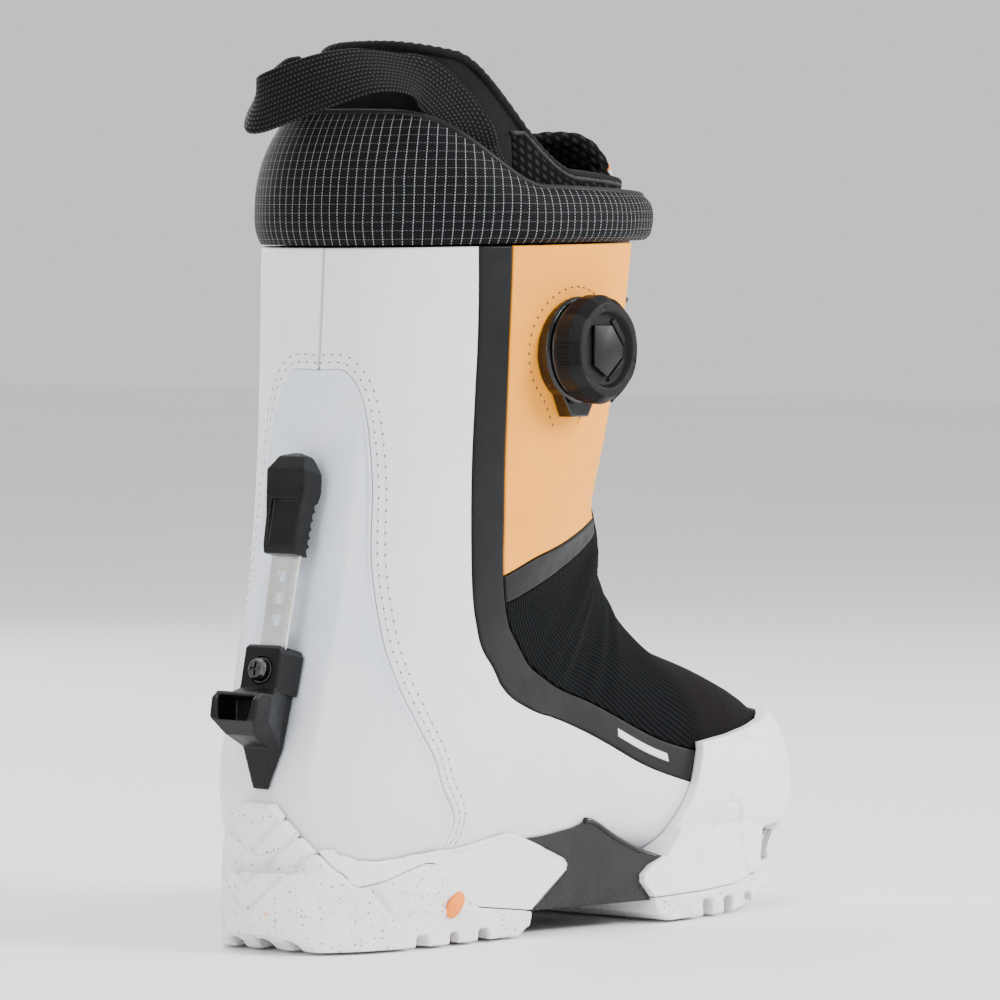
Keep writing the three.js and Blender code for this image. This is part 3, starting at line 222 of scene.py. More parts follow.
def slab(name, outer, inner, tex, wrap=False, keep=None, fans=False):
    """A closed solid between two grids of points that lie face to face. tex holds (mm, mm) for each
    grid point, with one more column when the grid wraps. fans closes the first ring of each grid."""
    rows, columns = outer.shape[:2]
    count = rows * columns
    cells = columns if wrap else columns - 1
    keep = np.ones((rows - 1, cells), bool) if keep is None else keep
    points = list(outer.reshape(-1, 3)) + list(inner.reshape(-1, 3))
    faces, uvs = [], []
    tex = np.asarray(tex) * 0.01

    def corner(i, j, low):
        return i * columns + j % columns + (count if low else 0)

    def face(*corners):
        faces.append([corner(*c) for c in corners])
        uvs.extend(tex[i, j] for i, j, _ in corners)

    def kept(i, j):
        if wrap:
            j %= columns
        return 0 <= i < rows - 1 and 0 <= j < cells and keep[i, j]

    for i in range(rows - 1):
        for j in range(cells):
            if not keep[i, j]:
                continue
            face((i, j, 0), (i + 1, j, 0), (i + 1, j + 1, 0), (i, j + 1, 0))
            face((i, j, 1), (i, j + 1, 1), (i + 1, j + 1, 1), (i + 1, j, 1))
            if not kept(i - 1, j) and not (fans and i == 0):
                face((i, j, 0), (i, j + 1, 0), (i, j + 1, 1), (i, j, 1))
            if not kept(i + 1, j):
                face((i + 1, j, 0), (i + 1, j, 1), (i + 1, j + 1, 1), (i + 1, j + 1, 0))
            if not kept(i, j - 1):
                face((i, j, 0), (i, j, 1), (i + 1, j, 1), (i + 1, j, 0))
            if not kept(i, j + 1):
                face((i, j + 1, 0), (i + 1, j + 1, 0), (i + 1, j + 1, 1), (i, j + 1, 1))
    if fans:
        for low in (0, 1):
            ring = [corner(0, j, low) for j in range(columns)]
            points.append(np.mean([points[k] for k in ring], axis=0))
            for j in range(columns):
                faces.append([ring[j], ring[(j + 1) % columns], len(points) - 1])
                uvs.extend([tex[0, j], tex[0, j + 1], tex[0, j]])
    used = sorted({k for f in faces for k in f})
    place = {k: n for n, k in enumerate(used)}
    faces = [[place[k] for k in f] for f in faces]
    return mesh_object(name, np.array([points[k] for k in used]), faces, uvs)


def ring_faces(rows, columns, closed=True):
    """Quads of a grid that wraps round in its columns, and in its rows too when closed."""
    made = []
    for i in range(rows if closed else rows - 1):
        for j in range(columns):
            k, m = (i + 1) % rows, (j + 1) % columns
            made.append([i * columns + j, i * columns + m, k * columns + m, k * columns + j])
    return made


def spread(length, step):
    """Shares along a length, closer together near its ends."""
    near = [0, 0.25, 0.6, 1.1]
    count = max(2, round((length - 3.6) / step))
    middle = np.linspace(1.8, length - 1.8, count + 1)
    return np.concatenate([near, middle, length - np.array(near[::-1])]) / length


def run(points, axis):
    """Distance along a grid's lines from their start."""
    steps = np.linalg.norm(np.diff(points, axis=axis), axis=-1)
    start = np.zeros_like(np.take(steps, [0], axis))
    return np.cumsum(np.concatenate([start, steps], axis), axis)


def panel_grid(left, right, size, top=None, bottom=None, step=2.0, gap=0.2):
    """A grid of (u, v) between two edges; size is (length, width) in millimetres."""
    length, width = size
    t = spread(length, step)
    s = spread(width, step)
    t = gap / length + (1 - 2 * gap / length) * t
    s = gap / width + (1 - 2 * gap / width) * s
    s, t = np.meshgrid(s, t)
    a, b = left(t), right(t)
    grid = a + (b - a) * s[..., None]
    if top:
        straight = left(0 * t) + (right(0 * t) - left(0 * t)) * s[..., None]
        grid = grid + (top(s) - straight) * (1 - t)[..., None]
    if bottom:
        straight = left(0 * t + 1) + (right(0 * t + 1) - left(0 * t + 1)) * s[..., None]
        grid = grid + (bottom(s) - straight) * t[..., None]
    return grid


def panel(name, grid, outer=0.0, depth=2.4, edge=0.8, relief=None):
    """A closed panel over a grid of (u, v), with rounded edges. relief(grid, near) adds height."""
    u, v = grid[..., 0], grid[..., 1]
    flat = over(u, v, 0 * u)
    down, side = run(flat, 0), run(flat, 1)
    near = np.minimum(np.minimum(down, down[-1:] - down), np.minimum(side, side[:, -1:] - side))
    d = np.minimum(near, edge)
    height = outer - edge + np.sqrt(edge ** 2 - (edge - d) ** 2)
    if relief:
        height = height + relief(grid, near) * np.clip(near / edge, 0, 1)
    return slab(name, over(u, v, height), over(u, v, 0 * u - depth), np.stack([side, down], -1))


def bumps(u, v, scale=1.0, seed=0):
    """A smooth, gently uneven height in about -1..1 from a few seeded waves."""
    rng = np.random.default_rng(SEED + seed)
    total = np.zeros_like(np.asarray(u, float))
    for _ in range(6):
        a, b = rng.normal(0, scale, 2)
        total = total + np.sin(a * u * 2.2 + b * v * 0.09 + rng.uniform(0, 6.28))
    return total / 6


# ---------------------------------------------------------------- materials
class Look:
    """A procedural material under construction: short calls that add and join nodes."""

    def __init__(self, name, **uniform):
        self.material = bpy.data.materials.new(name)
        self.material.use_nodes = True
        self.tree = self.material.node_tree
        self.shader = self.tree.nodes["Principled BSDF"]
        for socket, value in uniform.items():
            self.shader.inputs[socket.replace("_", " ")].default_value = value
        self.place = self.add("ShaderNodeTexCoord").outputs["Object"]
        self.mm = self.scaled(self.place, 1000)

    def add(self, kind, **settings):
        node = self.tree.nodes.new(kind)
        for key, value in settings.items():
            setattr(node, key, value)
        return node

    def feed(self, socket, value):
        if isinstance(value, bpy.types.NodeSocket):
            self.tree.links.new(value, socket)
        else:
            socket.default_value = value

    def scaled(self, vector, factor):
        node = self.add("ShaderNodeVectorMath", operation="MULTIPLY")
        self.feed(node.inputs[0], vector)
        node.inputs[1].default_value = factor if isinstance(factor, tuple) else (factor,) * 3
        return node.outputs[0]

    def uv(self):
        """(across, along, 0) in millimetres."""
        return self.scaled(self.add("ShaderNodeUVMap", uv_map="UVMap").outputs[0], 100)

    def axes(self, vector):
        node = self.add("ShaderNodeSeparateXYZ")
        self.feed(node.inputs[0], vector)
        return node.outputs[0], node.outputs[1], node.outputs[2]

    def noise(self, size, detail=3.0, vector=None, rough=0.55):
        """Noise whose features are about size millimetres."""
        node = self.add("ShaderNodeTexNoise")
        self.feed(node.inputs["Vector"], vector or self.mm)
        node.inputs["Scale"].default_value = 1 / size
        node.inputs["Detail"].default_value = detail
        node.inputs["Roughness"].default_value = rough
        return node.outputs["Fac"]

    def cells(self, size, vector=None, feature="F1", output="Distance", jitter=1.0):
        node = self.add("ShaderNodeTexVoronoi", feature=feature)
        self.feed(node.inputs["Vector"], vector or self.mm)
        node.inputs["Scale"].default_value = 1 / size
        node.inputs["Randomness"].default_value = jitter
        return node.outputs[output]

    def sum(self, operation, a, b=0.0, c=0.0):
        node = self.add("ShaderNodeMath", operation=operation)
        for socket, value in zip(node.inputs, (a, b, c)):
            self.feed(socket, value)
        return node.outputs[0]

    def times(self, a, b):
        return self.sum("MULTIPLY", a, b)

    def plus(self, a, b):
        return self.sum("ADD", a, b)

    def minus(self, a, b):
        return self.sum("SUBTRACT", a, b)

    def scale_add(self, a, b, c):
        """a times b, plus c."""
        return self.sum("MULTIPLY_ADD", a, b, c)

    def ramp(self, value, low, high, to_low=0.0, to_high=1.0):
        node = self.add("ShaderNodeMapRange", interpolation_type="SMOOTHSTEP")
        for socket, number in zip(node.inputs, (value, low, high, to_low, to_high)):
            self.feed(socket, number)
        return node.outputs[0]

    def blend(self, share, a, b):
        node = self.add("ShaderNodeMix", data_type="RGBA")
        self.feed(node.inputs[0], share)
        for socket, value in ((node.inputs[6], a), (node.inputs[7], b)):
            self.feed(socket, value if isinstance(value, bpy.types.NodeSocket) else (*value, 1))
        return node.outputs[2]

    def stripe(self, value, pitch, share):
        """1 on a line every pitch, share of the pitch wide, with soft sides."""
        f = self.sum("FRACT", self.sum("DIVIDE", value, pitch))
        d = self.sum("ABSOLUTE", self.minus(f, 0.5))
        return self.ramp(d, 0.5 - share * 0.62, 0.5 - share * 0.38)

    def wave(self, value, pitch, phase=0.0):
        """0..1 sine along value."""
        angle = self.scale_add(value, 2 * math.pi / pitch, phase)
        return self.scale_add(self.sum("SINE", angle), 0.5, 0.5)

    def bump(self, height, depth, strength=1.0, over_=None):
        """Bump whose height of 1 stands depth millimetres proud."""
        node = self.add("ShaderNodeBump")
        node.inputs["Strength"].default_value = strength
        node.inputs["Distance"].default_value = depth * MM
        self.feed(node.inputs["Height"], height)
        if over_ is not None:
            self.feed(node.inputs["Normal"], over_)
        return node.outputs[0]

    def finish(self, colour=None, rough=None, normal=None):
        for socket, value in (("Base Color", colour), ("Roughness", rough), ("Normal", normal)):
            if value is not None:
                self.feed(self.shader.inputs[socket], value)
        return self.material


def leather(name, light, dark, rough=(0.38, 0.5), grain=0.5, depth=0.035, coat=0.0, spec=0.5):
    """Smooth coated synthetic leather: a fine pebble with a little mottling."""
    look = Look(name, Coat_Weight=coat, Coat_Roughness=0.3, Specular_IOR_Level=spec)
    pebble = look.cells(grain, feature="SMOOTH_F1")
    mottle = look.noise(14, 4)
    colour = look.blend(look.ramp(mottle, 0.3, 0.75), light, dark)
    pores = look.ramp(pebble, 0.25, 0.6)
    colour = look.blend(look.times(pores, 0.2), colour, dark)
    height = look.scale_add(look.noise(2.5, 4), 0.6, look.times(pebble, -1))
    return look.finish(colour, look.ramp(look.noise(6, 3), 0.3, 0.7, *rough), look.bump(height, depth, 0.6))


def plastic(name, light, dark, rough=(0.35, 0.5), texture=0.25, depth=0.012, coat=0.0, spec=0.5):
    """Moulded plastic or rubber with a fine spark-eroded texture and faint handling marks."""
    look = Look(name, Coat_Weight=coat, Coat_Roughness=0.15, Specular_IOR_Level=spec)
    mottle = look.noise(9, 5)
    colour = look.blend(look.ramp(mottle, 0.35, 0.7), light, dark)
    fine = look.noise(texture, 2)
    marks = look.ramp(look.noise(3, 6), 0.55, 0.75, 0, 0.08)
    roughness = look.plus(look.ramp(look.noise(5, 3), 0.3, 0.7, *rough), marks)
    return look.finish(colour, roughness, look.bump(fine, depth, 0.5))


def steel(name, colour, rough=(0.18, 0.32), along=(1, 1, 30)):
    """Brushed or pressed steel; along stretches the brushing."""
    look = Look(name, Metallic=1.0)
    lines = look.noise(2, 3, look.scaled(look.mm, along))
    tint = look.blend(look.ramp(look.noise(8, 2), 0.3, 0.7), colour, tuple(c * 0.86 for c in colour))
    return look.finish(tint, look.ramp(lines, 0.3, 0.7, *rough), look.bump(lines, 0.01, 0.3))


def ripstop():
    """Black cloth with a white reinforcing thread grid, 3.7 by 3.4 mm, and a fine weave."""
    look = Look("ripstop", Sheen_Weight=0.01, Sheen_Roughness=0.4, Specular_IOR_Level=0.06)
    a, b, _ = look.axes(look.uv())
    wander = look.times(look.minus(look.noise(30, 2), 0.5), 1.4)
    a = look.plus(a, wander)
    dash_b = look.ramp(look.wave(b, 1.05), 0.22, 0.45)
    dash_a = look.ramp(look.wave(a, 1.2), 0.12, 0.4)
    upright = look.times(look.stripe(a, 3.7, 0.085), dash_b)
    level = look.times(look.stripe(b, 3.4, 0.06), dash_a)
    weave = look.times(look.wave(a, 0.42), look.wave(b, 0.4))
    base = look.blend(weave, (0.003, 0.0034, 0.004), (0.009, 0.01, 0.011))
    colour = look.blend(look.times(level, 0.5), base, (0.2, 0.205, 0.215))
    colour = look.blend(look.times(upright, 0.8), colour, (0.36, 0.37, 0.385))
    height = look.scale_add(weave, 0.35, look.sum("MAXIMUM", upright, level))
    return look.finish(colour, look.ramp(weave, 0, 1, 0.55, 0.75), look.bump(height, 0.1, 0.8))


def knit():
    """Ribbed stretch knit: curved ribs 1.5 mm apart, each a column of small loops, smoother at the toe, with
    a painted highlight on the raised loops.
    """
    look = Look("ribbed_knit", Sheen_Weight=0.015, Sheen_Roughness=0.45, Specular_IOR_Level=0.04)
    x = look.axes(look.mm)[0]
    a, b, _ = look.axes(look.uv())
    drift = look.times(look.minus(look.noise(18, 2), 0.5), 3.0)
    a = look.plus(look.scale_add(b, 0.22, a), drift)
    rib = look.wave(a, 1.7)
    loop = look.wave(look.plus(b, look.times(rib, 0.5)), 1.15)
    knitted = look.ramp(look.plus(x, look.times(look.noise(20, 2), 14)), 150, 168, 1, 0)
    height = look.scale_add(loop, 0.4, rib)
    plain = look.times(look.noise(0.7, 3), 0.45)
    smooth_part = look.minus(1.0, knitted)
    height = look.plus(look.times(height, knitted), look.times(plain, smooth_part))
    # painted highlight: the raised loops of the knitted ribs are painted lighter and bluer
    painted_rib_highlight = look.times(look.ramp(height, 0.5, 1.35), knitted)
    base = look.blend(knitted, (0.0075, 0.0066, 0.006), (0.0018, 0.0022, 0.0026))
    colour = look.blend(look.times(painted_rib_highlight, 0.8), base, (0.011, 0.0125, 0.014))
    return look.finish(colour, look.ramp(rib, 0, 1, 0.8, 0.92), look.bump(height, 0.32, 0.9))


def webbing():
    """Woven strap: rows of small picks along the length, with painted shade in the hollows between them."""
    look = Look("webbing", Sheen_Weight=0.015, Sheen_Roughness=0.35, Specular_IOR_Level=0.1)
    a, b, _ = look.axes(look.uv())
    row = look.wave(b, 1.85)
    shifted = look.scale_add(look.stripe(b, 3.7, 0.5), 0.8, a)
    pick = look.wave(shifted, 1.6)
    height = look.times(row, look.scale_add(pick, 0.75, 0.25))
    # painted shade and highlight: the colour follows the weave's height, near black in the hollows and
    # lighter on the picks
    colour = look.blend(look.ramp(height, 0.3, 0.95), (0.002, 0.002, 0.0024), (0.022, 0.0225, 0.024))
    return look.finish(colour, look.ramp(height, 0, 1, 0.75, 0.45), look.bump(height, 0.35, 0.9))


def liner_cloth(name, weave=0.7, light=0.01, dark=0.004, sheen=0.015, depth=0.12):
    look = Look(name, Sheen_Weight=sheen, Sheen_Roughness=0.4, Specular_IOR_Level=0.08)
    x, y, z = look.axes(look.mm)
    cloth = look.times(look.wave(look.plus(x, y), weave), look.wave(z, weave))
    cloud = look.noise(12, 4)
    colour = look.blend(look.ramp(cloud, 0.3, 0.7), (dark,) * 3, (light, light, light * 1.04))
    colour = look.blend(look.times(cloth, 0.3), colour, (light * 1.6,) * 3)
    height = look.scale_add(look.noise(0.5, 3), 0.5, cloth)
    return look.finish(colour, look.ramp(cloud, 0.3, 0.7, 0.6, 0.8), look.bump(height, depth, 0.7))


def quilted():
    """Air mesh with rows of small pillows, and painted shade in the seams between them."""
    look = Look("liner_mesh", Sheen_Weight=0.015, Specular_IOR_Level=0.06)
    x, y, z = look.axes(look.mm)
    a = look.minus(x, y)
    pillow = look.times(look.wave(a, 4.4), look.wave(look.scale_add(a, 0.5, z), 3.4))
    fine = look.noise(0.45, 2)
    # painted shade: the mesh is darkest in the seams between the pillows and lighter on their tops
    colour = look.blend(look.ramp(pillow, 0.05, 0.7), (0.002, 0.002, 0.002), (0.013, 0.0125, 0.012))
    height = look.scale_add(fine, 0.2, pillow)
    return look.finish(colour, look.ramp(pillow, 0, 1, 0.9, 0.6), look.bump(height, 0.5, 0.9))


def speckled_rubber():
    """Off-white outsole rubber with brown, orange and grey specks and fine moulded ribs."""
    look = Look("speckled_rubber", Specular_IOR_Level=0.4)
    x, _, z = look.axes(look.mm)
    colour = look.blend(look.ramp(look.noise(16, 4), 0.3, 0.7), (0.86, 0.855, 0.845), (0.79, 0.78, 0.765))
    # size, colour, width of a speck's edge, and a shift that keeps the layers apart
    grains = ((2.6, (0.22, 0.11, 0.05), 0.2, 0.0), (3.4, (0.8, 0.26, 0.05), 0.16, 40.0),
              (1.9, (0.25, 0.25, 0.27), 0.18, 90.0), (1.4, (0.45, 0.36, 0.28), 0.22, 150.0))
    for size, tint, width, shift in grains:
        node = look.add("ShaderNodeTexVoronoi")
        moved = look.add("ShaderNodeVectorMath", operation="ADD")
        look.feed(moved.inputs[0], look.mm)
        moved.inputs[1].default_value = (shift,) * 3
        look.feed(node.inputs["Vector"], moved.outputs[0])
        node.inputs["Scale"].default_value = 1 / size
        chance = look.axes(node.outputs["Color"])[0]
        speck = look.times(look.ramp(node.outputs["Distance"], width * 1.2, width * 0.7),
                         look.ramp(chance, 0.66, 0.68))
        colour = look.blend(look.times(speck, 0.8), colour, tint)
    rib = look.wave(z, 1.5)
    counter = look.ramp(x, -38, -42)
    height = look.scale_add(look.times(rib, counter), 0.8, look.noise(0.5, 3))
    rough = look.ramp(look.noise(4, 3), 0.3, 0.7, 0.55, 0.72)
    return look.finish(colour, rough, look.bump(height, 0.09, 0.6))


def thread(name, colour, dark):
    look = Look(name, Sheen_Weight=0.1, Specular_IOR_Level=0.3)
    twist = look.wave(look.plus(look.axes(look.mm)[0], look.axes(look.mm)[2]), 0.35)
    tint = look.blend(look.times(twist, 0.5), colour, dark)
    return look.finish(tint, look.ramp(twist, 0, 1, 0.55, 0.75), look.bump(twist, 0.05, 0.6))


def spine_plastic():
    look = Look("spine_plastic", Coat_Weight=0.12, Coat_Roughness=0.25)
    tint = look.blend(look.ramp(look.noise(26, 3), 0.3, 0.7), (0.64, 0.69, 0.765), (0.70, 0.745, 0.81))
    z = look.axes(look.mm)[2]
    # painted light: below 120 mm the spine blends towards a paler, whiter tone, most strongly at its foot
    tint = look.blend(look.ramp(z, 60, 120, 0.55, 0.0), tint, (0.78, 0.80, 0.83))
    fine = look.noise(0.35, 2)
    return look.finish(tint, look.ramp(look.noise(7, 3), 0.3, 0.7, 0.3, 0.4), look.bump(fine, 0.012, 0.5))


def worn_black(name, tone=0.02, rough=(0.3, 0.45), coat=0.0, spec=0.18):
    return plastic(name, (tone, tone, tone * 1.06), (tone * 0.6,) * 3, rough, 0.3, 0.02, coat, spec)


LOOKS = {
    "white_leather": leather("white_leather", (0.79, 0.797, 0.825), (0.75, 0.757, 0.79), (0.42, 0.52)),
    "spine": spine_plastic(),
    "black_trim": leather("black_trim", (0.012, 0.013, 0.0135), (0.009, 0.0095, 0.01), (0.38, 0.5), 0.45,
                          0.03, spec=0.13),
    "apricot": leather("apricot_leather", (1.0, 0.38, 0.02), (0.97, 0.35, 0.016), (0.5, 0.62), 0.4, 0.03,
                       spec=0.2),
    "knit": knit(),
    "ripstop": ripstop(),
    "webbing": webbing(),
    "liner": liner_cloth("liner_cloth"),
    "liner_mesh": quilted(),
    "white_rubber": speckled_rubber(),
    "midsole": plastic("white_midsole", (0.86, 0.865, 0.885), (0.82, 0.825, 0.85), (0.45, 0.58), 0.4, 0.015),
    "shank": plastic("shank_plastic", (0.017, 0.018, 0.019), (0.013, 0.014, 0.015),
                     (0.22, 0.34), 0.3, 0.008, 0.0, 0.25),
    "black_plastic": worn_black("black_plastic", 0.006, (0.3, 0.44), 0.0, 0.2),
    "knob": worn_black("knob_rubber", 0.009, (0.45, 0.58), 0.0, 0.12),
    "gloss_black": worn_black("gloss_black", 0.004, (0.14, 0.24), 0.0, 0.45),
    "steel": steel("spring_steel", (0.86, 0.855, 0.83), (0.24, 0.36)),
    "black_steel": steel("black_steel", (0.1, 0.1, 0.105), (0.25, 0.4), (1, 1, 1)),
    "hook_steel": steel("hook_steel", (0.3, 0.3, 0.295), (0.25, 0.38), (1, 20, 1)),
    "board": liner_cloth("board_felt", 1.0, 0.32, 0.24, 0.1, 0.1),
    "lace": thread("lace_cable", (0.03, 0.03, 0.032), (0.008, 0.008, 0.008)),
    "white_thread": thread("white_thread", (0.8, 0.805, 0.82), (0.6, 0.61, 0.63)),
    "dark_thread": thread("dark_thread", (0.012, 0.012, 0.012), (0.004, 0.004, 0.004)),
    # painted shade: the grey bead at each needle hole stands for the shade inside the hole
    "hole_shade_grey": thread("needle_hole", (0.18, 0.185, 0.2), (0.1, 0.1, 0.11)),
    # painted shade: the brown bead at each needle hole in the apricot panel stands for the shade inside the
    # hole
    "hole_shade_brown": thread("needle_hole_warm", (0.1, 0.06, 0.03), (0.05, 0.03, 0.02)),
    "orange": plastic("orange_rubber", (0.95, 0.24, 0.002), (0.9, 0.2, 0.002), (0.45, 0.6)),
}


def dress(made, look, body="boot", replaces=()):
    """Gives a piece its material, the body it rides on and the CAD nodes it stands for."""
    made.data.materials.clear()
    made.data.materials.append(LOOKS[look])
    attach(made, body)
    if replaces:
        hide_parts(*replaces)
    return made


# ---------------------------------------------------------------- shell panels
SIDES = (("lateral", lambda uv: uv), ("medial", mirrored))


def edge_of(keys, first=0.0, last=None):
    last = len([1 for a, b in zip(keys, keys[1:]) if a != b]) if last is None else last
    return lambda t: along_edge(keys, first + (last - first) * np.asarray(t, float))


def quarter_relief(grid, near):
    u, v = grid[..., 0], grid[..., 1]
    return 0.35 * bumps(u, v, 0.8, 1) * np.clip(near / 12, 0, 1)


def quarters():
    made = []
    for name, side in SIDES:
        left, right = edge_of(SEAM_AND_WINDOW), edge_of(BAND_BACK)
        grid = panel_grid(left, right, (380, 85), step=2.0)
        made.append(panel("quarter_" + name, side(grid), 0, 6.8, 1.0, quarter_relief))
        dress(made[-1], "white_leather", replaces=["quarter_" + name])
    return made


def spine_top(s):
    near = along_edge(SEAM_AND_WINDOW, 2 - 2 * np.clip(s, 0, 0.5))
    far = mirrored(along_edge(SEAM_AND_WINDOW, 2 * np.clip(s, 0.5, 1)))
    return np.where((s < 0.5)[..., None], near, far)


def spine_relief(grid, near):
    """A moulded rim, and faint upright facets either side of the middle."""
    v = np.abs(grid[..., 1] - 180)
    rim = -0.7 * np.clip((near - 1.2) / 1.6, 0, 1)
    facets = 0.5 * np.exp(-((v - 16) / 3.5) ** 2) + 0.35 * np.exp(-((v - 34) / 5) ** 2)
    return rim + facets * np.clip(near / 14, 0, 1)


def spine():
    left = edge_of(SEAM_AND_WINDOW, 2, 11)
    grid = panel_grid(left, lambda t: mirrored(left(t)), (225, 90), spine_top, edge_of(HEEL_FOOT), 1.8)
    made = panel("heel_spine", grid, 0.1, 6.8, 0.9, spine_relief)
    return dress(made, "spine", replaces=["heel_spine"])


def bands():
    for name, side in SIDES:
        grid = panel_grid(edge_of(BAND_BACK), edge_of(BAND_FRONT), (330, 16), step=2.0)
        made = panel("eyestay_band_" + name, side(grid), 0.35, 6.8, 0.7)
        dress(made, "black_trim", replaces=["eyestay_band_" + name])


def ankle_panels():
    made = []
    for name, side in SIDES:
        left = edge_of(BAND_FRONT, 0, 6)
        grid = panel_grid(left, edge_of(PANEL_FRONT), (130, 60), None, edge_of(PANEL_FOOT), 1.8)
        relief = lambda g, near: 0.2 * bumps(g[..., 0], g[..., 1], 0.8, 3) * np.clip(near / 10, 0, 1)
        made.append(panel("ankle_panel_" + name, side(grid), 0, 2.4, 0.7, relief))
        dress(made[-1], "apricot", replaces=["ankle_panel_" + name])
    for name, side in SIDES:
        grid = panel_grid(edge_of(PANEL_FOOT), edge_of(STRAP_FOOT), (85, 9), step=1.8)
        strap = panel("ankle_strap_" + name, side(grid), 0.45, 2.4, 0.8)
        dress(strap, "black_trim", replaces=["ankle_strap_" + name])
    return made


def vamp_side(t):
    """The vamp's outer edge: down the band, then along under the cap to the toe."""
    t = np.asarray(t, float)
    under = [(3.85, 76), (3.83, 95), (3.8, 114), (3.77, 133)] + [(u, FEATHER) for u in TOE_SAMPLES]
    low = along_edge(BAND_FRONT, 7 + 7 * np.clip(t / 0.62, 0, 1))
    k = np.clip((t - 0.62) / 0.38, 0, 1) * (len(under) - 1)
    i = np.minimum(np.floor(k).astype(int), len(under) - 2)
    under = np.array(under, float)
    far = under[i] + (under[i + 1] - under[i]) * (k - i)[..., None]
    return np.where((t < 0.62)[..., None], low, far)


def vamp_relief(grid, near):
    """Soft folds where the ankle bends, and an uneven stretch over the foot."""
    u, v = grid[..., 0], grid[..., 1]
    wave = np.sin(u * 7.4 + 0.03 * v + 0.9 * np.sin(v * 0.05)) + 0.6 * np.sin(u * 12.1 - 0.05 * v)
    fold = wave * np.exp(-((u - 7.1) / 1.25) ** 2)
    cap = np.clip((u - 2.9) / 1.4, 0, 1)
    bulge = 3.0 * np.exp(-((u - 8.15) / 0.6) ** 2 - (v / 55) ** 2)
    crease = -1.6 * np.exp(-((u - 7.35 - 0.002 * v) / 0.16) ** 2 - (v / 60) ** 2)
    folds = 0.45 * fold + 0.6 * bumps(u, v, 1.0, 5)
    hidden = -1.2 * np.clip((2.9 - u) / 0.6, 0, 1) * np.clip(near / 3, 0, 1)
    return (folds + bulge + crease) * cap * np.clip(near / 10, 0, 1) + hidden


def vamp():
    grid = panel_grid(vamp_side, lambda t: across(vamp_side(t)), (260, 110), vamp_top, None, 1.8)
    return dress(panel("vamp", grid, -0.1, 6.8, 0.8, vamp_relief), "knit", replaces=["vamp"])


def tongue_relief(grid, near):
    """Padded bars across the tongue between the panels."""
    u, v = grid[..., 0], grid[..., 1]
    bar = np.abs(np.sin(u * 2.6)) ** 0.6 - 0.6
    return 1.1 * bar * np.exp(-(v / 48) ** 4) * np.clip(near / 6, 0, 1)


def shell_tongue():
    side = edge_of(BAND_FRONT, 0, 7)
    grid = panel_grid(side, lambda t: across(side(t)), (140, 170), edge_of(TONGUE_TOP), vamp_top, 2.0)
    made = panel("shell_tongue", grid, -5.6, 6.8, 0.6, tongue_relief)
    return dress(made, "black_trim", replaces=["shell_tongue"])


# ---------------------------------------------------------------- collar, liner and pull loop
def smoothstep(x, low, high):
    x = np.clip((np.asarray(x, float) - low) / (high - low), 0, 1)
    return x * x * (3 - 2 * x)


def collar_top(v):
    return 15.75 + 1.1 * smoothstep(np.cos(np.radians(180 - v)), 0.3, 0.95)


COLLAR_PROFILE = [(0, -0.6), (0.0, 0.6), (0.1, 2.8), (0.28, 3.5), (0.5, 3.5), (0.72, 2.6), (0.88, 1.1),
                  (0.97, -0.4), (1.0, -1.4), (0.97, -2.6), (0.8, -3.4), (0.5, -3.8), (0.2, -3.9),
                  (0.05, -4.0), (0.0, -3.0), (0, -1.8)]


def collar():
    """A padded cuff: the profile goes up the outside, over the rim and down the inside."""
    around, steps = 240, 64
    v = np.arange(around) * 360 / around
    rows = COLLAR_PROFILE + COLLAR_PROFILE[:1]
    t = np.linspace(0, len(rows) - 1, steps, endpoint=False)
    share, height = np.moveaxis(through(rows, t), -1, 0)
    v2, share2 = np.meshgrid(v, share)
    height2 = np.meshgrid(v, height)[1]
    top = collar_top(v2)
    pucker = 0.45 * bumps(share2 * 2.2, v2 * 1.4, 1.5, 9) * np.clip(height2 / 2, 0, 1)
    u = COLLAR_LINE + 0.03 + (top - COLLAR_LINE) * share2
    points = over(u, v2, height2 + pucker)
    side = run(np.concatenate([skin(0 * v + 15.4, v), skin(15.4, v[:1])])[None], 1)
    down = run(points, 0)
    uvs = []
    for i in range(steps):
        up = min(i + 1, steps - 1)
        for j in range(around):
            m = (j + 1) % around
            a, b = side[0, j], side[0, j + 1]
            uvs.extend([(a, down[i, j]), (b, down[i, m]), (b, down[up, m]), (a, down[up, j])])
    made = mesh_object("collar", points.reshape(-1, 3), ring_faces(steps, around), np.array(uvs) * 0.01)
    dress(made, "ripstop", replaces=["collar"])
    rim = over(collar_top(v), v, 0 * v - 1.4)
    dress(tube("collar_binding", rim, 1.5, 12, closed=True), "black_trim")
    return made


